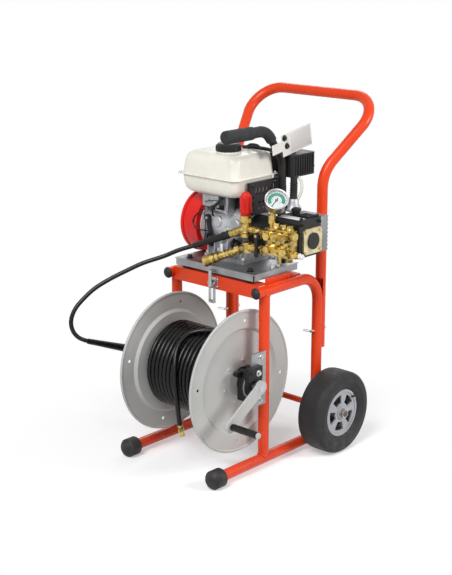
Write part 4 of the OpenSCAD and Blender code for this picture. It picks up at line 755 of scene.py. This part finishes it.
# Round the tank: silencer guard, air cleaner, carburettor, intake, breather and top strap
guard_screws = Hardware("silencer_guard_screws")
for y in (62, 163):
    for z in (744, 824):
        guard_screws.turned([(0, 3), (3.5, 2.7), (5.5, 1.2), (6, 0)], (74, y, z), NEAR, 20)
guard_screws.made(SATIN_BLACK, "cart", "black_paint")
CLEANER_TOP = (60, 255.5, 908)
wing_nut = Hardware("air_cleaner_wing_nut")
wing_nut.turned([(0, 12), (5, 12), (8, 8), (9, 0)], CLEANER_TOP, UP, 24)
for wing in (0.5, 0.5 + math.pi):
    wing_nut.slab((4, -2, 3), (20, 2, 15), 1.8, CLEANER_TOP, Matrix.Rotation(wing, 4, "Z"))
for y in (214, 280):
    wing_nut.slab((9, y, 850), (12.5, y + 18, 884), 1.2)
wing_nut.made(BLACK_PLASTIC, "cart", "black_plastic")
choke = Hardware("carburettor_levers")
choke.slab((60, 205, 785), (63, 214, 822), 1)
choke.turned([(0, 6), (6, 6), (7, 5), (7, 0)], (60, 210, 788), NEAR, 20)
choke.bolt((42, 211, 743), DOWN, 11, 7)
choke.turned([(0, 4), (5, 4), (6, 3), (6, 0)], (60, 222, 775), NEAR, 20)
choke.made(ZINC, "cart", "bright_steel")
intake = Hardware("intake_casting")
intake.turned([(0, 34), (14, 34), (16, 31), (17, 18), (23, 8), (25, 5), (25, 0), (22, -3), (0, -3)],
              (108, 206, 736), UP, 40)
intake.turned([(0, 52), (12, 52), (13, 50), (13, 8), (18, 6), (18, 0), (0, 0)], (58, 209, 766),
              (0.93, -0.05, -0.35), 32)
intake.made(ALLOY, "cart", "cast_alloy")
ELBOW_TOP = 838
elbow = Hardware("intake_elbow")
elbow.wire([(101, 216, ELBOW_TOP), (102, 215, 812), (104, 212, 786), (107, 207, 764)], 21, 20, 8)
for z in range(772, 815, 7):
    drop = ELBOW_TOP - z
    elbow.ring((102 + drop * 0.055, 216 - drop * 0.1, z), UP, 10.6, 1.5, 32, 8)
elbow.made(BLACK_RUBBER, "cart", "black_rubber")
breather = Hardware("breather_hose")
breather.wire([(96, 232, 836), (112, 232, 826), (121, 229, 808), (122, 225, 788), (116, 218, 768),
               (110, 210, 756)], 9, 12, 6)
breather.made(TIP_WHITE, "cart", "white_plate")
strap = Hardware("tank_top_strap")
strap.wire([(-34, 141, 916), (-10, 146, 918), (20, 146, 919), (52, 141, 920), (74, 150, 916),
            (80, 176, 908)], 11, 12, 6)
strap.wire([(-8, 132, 922), (10, 126, 930), (34, 126, 930), (44, 132, 920)], 8, 12, 6)
strap.made(BLACK_PLASTIC, "cart", "black_plastic")

# Lifting bar: the bare tag plate's bolts and empty panel, and the foam sleeve
TAG_AT = Vector((93.9, 175, 895))
tag_turn = Matrix.Rotation(math.radians(10), 4, "X")
tag_bolts = Hardware("tag_plate_bolts")
for along, up in ((12, 55), (20, 29)):
    tag_bolts.bolt(TAG_AT + tag_turn.to_3x3() @ Vector((0, along, up)), NEAR, 11, 6)
tag_bolts.made(SATIN_BLACK, "cart", "black_paint")
tag_panel = Hardware("tag_bare_panel")
tag_panel.slab((-0.3, 40, 5), (0.5, 131, 61), 0.3, TAG_AT, tag_turn)
tag_panel.made(LABEL_GREY, "cart", "white_plate")
sleeve = Hardware("lift_grip_sleeve")
sleeve.turned([(0, 4), (14, 4), (17, 3), (19, 0), (19.3, -4), (19.3, -108), (18.6, -112),
               (16.5, -114), (15, -114)], (80, -62, 979), FRONT, 48)
sleeve.made(FOAM, "cart", "foam_grip")

# Pump: screws, a white strip painting the highlight on its top, oil filler, core of the finned
# cover, ribs
PUMP_TOP, PUMP_END_X, FILLER_X, FILLER_Y, FILLER_R = 750, 262, 195, 113, 13
pump_screws = Hardware("pump_screws")
for x in (172, 254):
    for y in (64, 136):
        pump_screws.socket_head((x, y, PUMP_TOP), UP, 10, 6)
for y in (56, 134):
    for z in (654, 738):
        pump_screws.socket_head((PUMP_END_X, y, z), NEAR, 9, 6)
for k in range(6):
    pump_screws.socket_head(on_shaft(60 * k + 30, 151, 48), FAR, 8, 7)
pump_screws.made(SATIN_BLACK, "cart", "black_paint")
# A white plate on the black top face: a painted highlight where the light glints off the pump's top
highlight_strip = Hardware("pump_painted_highlight_strip")
highlight_strip.slab((172, 57, 749.6), (250, 86, 751), 0.4)
highlight_strip.made(PLATE_WHITE, "cart", "white_plate")
filler = Hardware("pump_oil_filler")
filler.turned([(0, 9), (9, 9), (11, 8), (FILLER_R, 6), (FILLER_R, 1), (15, 0)],
              (FILLER_X, FILLER_Y, 761), UP, 32)
for k in range(12):
    a = math.radians(30 * k)
    knurl = (FILLER_X + FILLER_R * math.cos(a), FILLER_Y + FILLER_R * math.sin(a), 762)
    filler.turned([(0, 5), (1.6, 4), (1.6, 0)], knurl, UP, 8)
filler.made(SATIN_BLACK, "cart", "black_paint")
rear_body = Hardware("pump_rear_cover_core")
rear_body.slab((167.5, 144, 645.5), (259.6, 178.6, 746.5), 1.5)
rear_body.made(FIN_GREY, "cart", "cast_alloy")
ribs = Hardware("pump_ribs")
for y in (98, 108, 118, 128):
    ribs.slab((214, y, 748), (256, y + 4, 755), 1.2)
for z in (660, 672, 702, 714):
    ribs.slab((260, 46, z), (264.5, 58, z + 5), 1.2)
ribs.made(SATIN_BLACK, "cart", "black_paint")

# Manifold and unloader: brass plugs, barb, rings and nuts, cap screws, white tips
UNLOADER, INLET_LINE, DRAIN_LINE = (85, 20), (12, 656), (22, 658)
plugs = Hardware("manifold_plugs")
for x in (192, 218, 243):
    plugs.turned([(0, 6), (10, 6), (11.5, 4), (11.5, 0)], (x, 30, 724), UP, 28)
    plugs.hexagon((x, 30, 729), UP, 17, 9, 0.3)
plugs.turned([(0, -24), (4, -24), (5, -18), (4, -18), (5, -12), (4, -12), (5, -6), (8, -6), (8, 0)],
             (208, 26, 646), UP, 24)
plugs.hexagon((240, 30, 632), UP, 17, 14)
for z in (691, 699, 728):
    plugs.ring((*UNLOADER, z), UP, 16.2, 1.7, 40)
for x in (112, 124, 136):
    plugs.ring((x, 20, 706), NEAR, 10.2, 1.5, 32)
plugs.hexagon((118, *INLET_LINE), NEAR, 26, 12)
plugs.hexagon((152, *INLET_LINE), NEAR, 26, 10)
plugs.hexagon((262, *DRAIN_LINE), NEAR, 20, 10)
plugs.made(BRASS, "cart", "brass")
head_screws = Hardware("manifold_screws")
for x in (165, 195, 225, 253):
    for z in (718, 684.5, 651):
        head_screws.socket_head((x, 14, z), FRONT, 7, 4)
head_screws.made(AXLE_BROWN, "cart", "bright_steel")
drain_tip = Hardware("drain_valve_tip")
drain_tip.turned([(0, 12), (6.5, 12), (7.5, 11), (7.5, 1), (9, 0)], (284, *DRAIN_LINE), NEAR, 28)
drain_tip.slab((-4, -2.5, -6), (4, 2.5, 18), 1.2, (28, -20, 642))
drain_tip.made(TIP_WHITE, "cart", "white_plate")

# Jumper ends: brass couplings, and black restrictors with grip rings
OUT_GRIP, IN_GRIP = 46, 58
coupling = Hardware("jumper_coupling")
coupling.hexagon(outlet + outlet_way * 20, outlet_way, 23.5, 13)
coupling.turned([(0, 34), (10.5, 34), (11.5, 33), (11.5, 31), (10, 30), (10, 27), (11.5, 26),
                 (11.5, 23), (10, 22), (10, 19), (12, 18), (12.5, 12), (8, 12)],
                outlet + outlet_way * 13, outlet_way, 36)
coupling.hexagon(swivel + swivel_way * 40, swivel_way, 23.5, 20)
coupling_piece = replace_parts(coupling.made(BRASS, "cart", "brass"), "jumper_fittings")
out_profile = [(6.4, 118), (8.2, 118), (8.5, 116), (9, 90), (10, 50), (11.2, 14), (11.6, 12),
               (11.6, 0), (6.4, 0)]
in_profile = [(6.4, 183), (8.2, 183), (8.5, 181), (9, 150), (10.5, 90), (12, 30), (12.6, 26),
              (12.6, 0), (6.4, 0)]
restrictors = Hardware("jumper_restrictors")
for start, way, reach, profile in ((outlet, outlet_way, OUT_GRIP, out_profile),
                                   (swivel, swivel_way, IN_GRIP, in_profile)):
    restrictors.turned(profile, start + way * reach, way, 32)
    for k in range(5):
        restrictors.ring(start + way * (reach + 4 + 5 * k), way, 11.3, 1.0, 36, 8)
restrictor_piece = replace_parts(restrictors.made(GLOSS_BLACK, "cart", "black_rubber"),
                               "jumper_fittings")

# Gauge: green band, ticks and plain numbers on the dial, and the bezel
GAUGE_AT = Vector((180, 43, 800))
DIAL_START, DIAL_SWEEP, DIAL_TICKS, DIAL_NUMBERS = 235, 270, 40, 8
TICK_IN, LONG_TICK_IN, TICK_OUT = 27, 25.8, 29
NUMBER_SIZE, NUMBER_THICK, NUMBER_R, NUMBER_LIFT = 0.0046, 0.0001, 11.6, -1.35
gauge_out = Vector((0.499, -0.55, 0.67)).normalized()
gauge_turn = facing(Vector(UP).cross(gauge_out).normalized(), gauge_out)
band = Hardware("gauge_green_band")
band_turn = gauge_turn @ Matrix.Rotation(math.radians(-30), 4, "Z")
band.ring(GAUGE_AT - gauge_out * 1.45, band_turn, 20, 4.8, 60, 8, math.radians(240), 0.05)
band.made(DIAL_GREEN, "cart", "white_plate")
print_marks = Hardware("gauge_ticks")
for k in range(DIAL_TICKS + 1):
    degrees = DIAL_START - DIAL_SWEEP * k / DIAL_TICKS
    mark = gauge_turn @ Matrix.Rotation(math.radians(degrees), 4, "Z")
    print_marks.slab((TICK_IN if k % 5 else LONG_TICK_IN, -0.3, -0.1), (TICK_OUT, 0.3, 0.15), 0,
                     GAUGE_AT - gauge_out * 1.4, mark)
for k in range(DIAL_NUMBERS + 1):
    words = bpy.data.curves.new("dial_number", "FONT")
    words.body = str(k)
    words.size = NUMBER_SIZE
    words.align_x, words.align_y = "CENTER", "CENTER"
    words.extrude = NUMBER_THICK
    holder = add_object("dial_number", words)
    depsgraph = bpy.context.evaluated_depsgraph_get()
    shape = bpy.data.meshes.new_from_object(holder.evaluated_get(depsgraph))
    a = math.radians(DIAL_START - DIAL_SWEEP * k / DIAL_NUMBERS)
    spot = Vector((NUMBER_R * math.cos(a), NUMBER_R * math.sin(a), NUMBER_LIFT))
    shape.transform(aimed(GAUGE_AT + gauge_turn.to_3x3() @ spot, gauge_turn))
    print_marks.bm.from_mesh(shape)
    bpy.data.objects.remove(holder)
    bpy.data.curves.remove(words)
    bpy.data.meshes.remove(shape)
print_marks.made(INK, "cart", "needle_black")
bezel = Hardware("gauge_bezel")
bezel.ring(GAUGE_AT + gauge_out * 7.4, gauge_turn, 32, 2.2, 72, 12)
bezel.made(ZINC, "cart", "bright_steel")

# The pressure knob's domed top
knob_dome = Hardware("unloader_knob_dome")
knob_dome.turned([(0, 17), (4, 16.6), (8, 14.8), (11, 11.5), (13, 6.5), (13.9, 0), (13.9, -2)],
                 (*UNLOADER, 799), UP, 40)
knob_dome.made(KNOB_RED, "pressure_knob", "knob_red")

# Reel: flange bolts, clamp and bracket bolts, bearing faces, shaft collar
FLANGE_X, BRACKET_X, BEARING_X = 132.5, 189, 206
for name, way, reel_x in (("near_flange_bolts", NEAR, FLANGE_X),
                          ("far_flange_bolts", FAR, -FLANGE_X)):
    flange_bolts = Hardware(name)
    for k in range(6):
        flange_bolts.bolt(on_reel(60 * k + 15, reel_x, 62), way, 7, 3)
    flange_bolts.made(REEL_GREY, "reel", "bright_steel")
clamp_bolts = Hardware("reel_clamp_bolts")
bearing_faces = Hardware("bearing_faces")
for side in (-1, 1):
    way = (side, 0, 0)
    clamp_bolts.bolt((side * BEARING_X, -59.5, 316), way, 11, 6)
    for z in (222, 352):
        clamp_bolts.bolt((side * BRACKET_X, -30, z), way, 11, 6)
    bearing_faces.turned([(13, 0), (36, 0), (37, 1), (37, 3), (35, 4), (20, 5), (13, 5)],
                         (side * BRACKET_X, REEL_Y, REEL_Z), way, 48)
    bearing_faces.bolt((side * BEARING_X, -88, 322), way, 9, 4)
clamp_bolts.made(ZINC, "cart", "bright_steel")
bearing_faces.made(BLACK_PLASTIC, "cart", "black_plastic")
collar = Hardware("shaft_collar")
collar.turned([(10, 0), (14, 0), (15, 1), (15, 14), (14, 15), (10, 15)], (197, REEL_Y, REEL_Z),
              NEAR, 40)
collar.made(ZINC, "reel", "bright_steel")

# Wheels: axle ends, tyres with shoulders, valve stems, and black discs behind the rims that paint
# the shade seen through their windows
TYRE_X, AXLE_END_X, STEM_X = 244.5, 291.3, 262
axle_ends = Hardware("axle_ends")
for side in (-1, 1):
    axle_ends.turned([(0, 4), (6, 3.6), (9, 2), (10.6, 0), (10.6, -3)],
                     (side * AXLE_END_X, REAR_Y, AXLE_Z), (side, 0, 0), 32)
axle_ends.made(AXLE_BROWN, "cart", "bright_steel")
tyre_half = [(69.2, 30), (72, 33.5), (78, 38), (86, 42), (95, 42.8), (96.5, 44), (101.5, 44),
             (103, 42.8), (111, 42.6), (117.5, 41), (122.3, 37.6), (125.4, 33), (126.7, 27),
             (127, 20), (127, 8), (127, 0)]
tyre_round = tyre_half + [(r, -x) for r, x in tyre_half[-2::-1]] + tyre_half[:1]
shade_disc_round = [(20.5, 2.6), (63, 2.6), (64, 1.6), (64, 0.4), (20.5, 0.4), (20.5, 2.6)]
for side, body, solid in ((-1, "left_wheel", "left_tyre"), (1, "right_wheel", "right_tyre")):
    hub, way = (side * TYRE_X, REAR_Y, AXLE_Z), (side, 0, 0)
    tyre = Hardware(solid + "_rubber").turned(tyre_round, hub, way, 128)
    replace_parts(tyre.made(TYRE_RUBBER, body, "tyre_rubber", 50), solid)
    stem = Hardware(body + "_valve_stem_and_shade_disc")
    stem.turned([(0, 26), (2.6, 26), (3.2, 25), (3.2, 16), (2.6, 15), (3.6, 2), (5, 0)],
                (side * STEM_X, REAR_Y + 44, AXLE_Z + 34), (side, 0.35, 0.3), 16)
    # A black disc just behind the rim's windows: painted shade, standing in for the dark seen
    # through them
    stem.turned(shade_disc_round, hub, way, 48)
    stem.made(BLACK_RUBBER, body, "black_rubber")

# Latch rivets, and the washer in the water inlet's nut
rivets = Hardware("latch_rivets")
for x in (-11, 15):
    for z in (530, 551):
        rivets.turned([(0, 1.8), (1.8, 1.5), (2.8, 0.6), (3, 0)], (x, -25, z), FRONT, 16)
rivets.made(ZINC, "cart", "bright_steel")
INLET_WAY, INLET_REACH = Vector((-117, -54, -53)).normalized(), 121
washer = Hardware("inlet_washer")
washer.turned([(7, 3), (12.4, 3), (12.4, 0), (7, 0), (7, 3)],
              Vector((97, *INLET_LINE)) + INLET_WAY * INLET_REACH, INLET_WAY, 36)
washer.made(BLACK_RUBBER, "hose_nut", "black_rubber")

# Stage: a pale floor that runs out to white, and soft studio light
FLOOR_SIZE, FLOOR_GREY, FLOOR_LIFT = 30, (0.8, 0.8, 0.8, 1), 0.36
FADE_START, FADE_END = 0.3, 0.8
SKY_TINT, SKY_STRENGTH, WHITE = (0.93, 0.96, 1.0, 1), 0.18, (1, 1, 1, 1)


def sees_background(nodes):
    """1 for rays that show the backdrop: straight from the camera, or by gloss or glass."""
    path = nodes.node("ShaderNodeLightPath")
    total = path.outputs["Is Camera Ray"]
    for kind in ("Is Glossy Ray", "Is Transmission Ray"):
        total = nodes.maths("MAXIMUM", total, path.outputs[kind])
    return total


floor_mesh = bpy.data.meshes.new("studio_floor")
bm = bmesh.new()
bmesh.ops.create_grid(bm, x_segments=1, y_segments=1, size=FLOOR_SIZE)
bm.to_mesh(floor_mesh)
bm.free()
floor = add_object("studio_floor", floor_mesh)
floor_paint = bpy.data.materials.new("studio_floor")
floor_mesh.materials.append(floor_paint)
paint = Nodes(floor_paint, bare=True)
seen = sees_background(paint)
matt = paint.filled(paint.node("ShaderNodeBsdfDiffuse"), Color=FLOOR_GREY)
lift = paint.node("ShaderNodeEmission")
paint.link(paint.maths("MULTIPLY", seen, FLOOR_LIFT), lift.inputs["Strength"])
near_floor = paint.node("ShaderNodeAddShader")
paint.link(matt.outputs[0], near_floor.inputs[0])
paint.link(lift.outputs[0], near_floor.inputs[1])
white_floor = paint.node("ShaderNodeEmission")
away = paint.node("ShaderNodeVectorMath", operation="LENGTH")
paint.link(paint.node("ShaderNodeTexCoord").outputs["Object"], away.inputs[0])
fade = paint.ramp(away.outputs["Value"], FADE_START, FADE_END, ease="SMOOTHSTEP")
paint.show("ShaderNodeOutputMaterial", paint.maths("MULTIPLY", fade, seen), near_floor, white_floor)

world = bpy.data.worlds.new("studio")
bpy.context.scene.world = world
sky = Nodes(world, bare=True)
glow = sky.filled(sky.node("ShaderNodeBackground"), Color=SKY_TINT, Strength=SKY_STRENGTH)
paper = sky.filled(sky.node("ShaderNodeBackground"), Color=WHITE)
sky.show("ShaderNodeOutputWorld", sees_background(sky), glow, paper)


def soft_box(name, where, aim, size, watts):
    """A round area lamp turned towards a place."""
    lamp = bpy.data.lights.new(name, "AREA")
    lamp.shape = "DISK"
    lamp.size = size
    lamp.energy = watts
    obj = add_object(name, lamp)
    obj.location = where
    obj.rotation_euler = (Vector(aim) - Vector(where)).to_track_quat("-Z", "Y").to_euler()


soft_box("key_light", where=(0.8, -2.7, 3.2), aim=(0, 0, 0.5), size=2.0, watts=118)
soft_box("side_light", where=(3.0, 1.1, 2.0), aim=(0, 0, 0.5), size=1.4, watts=62)
soft_box("back_light", where=(-1.6, 2.2, 2.4), aim=(0, 0, 0.6), size=1.4, watts=16)
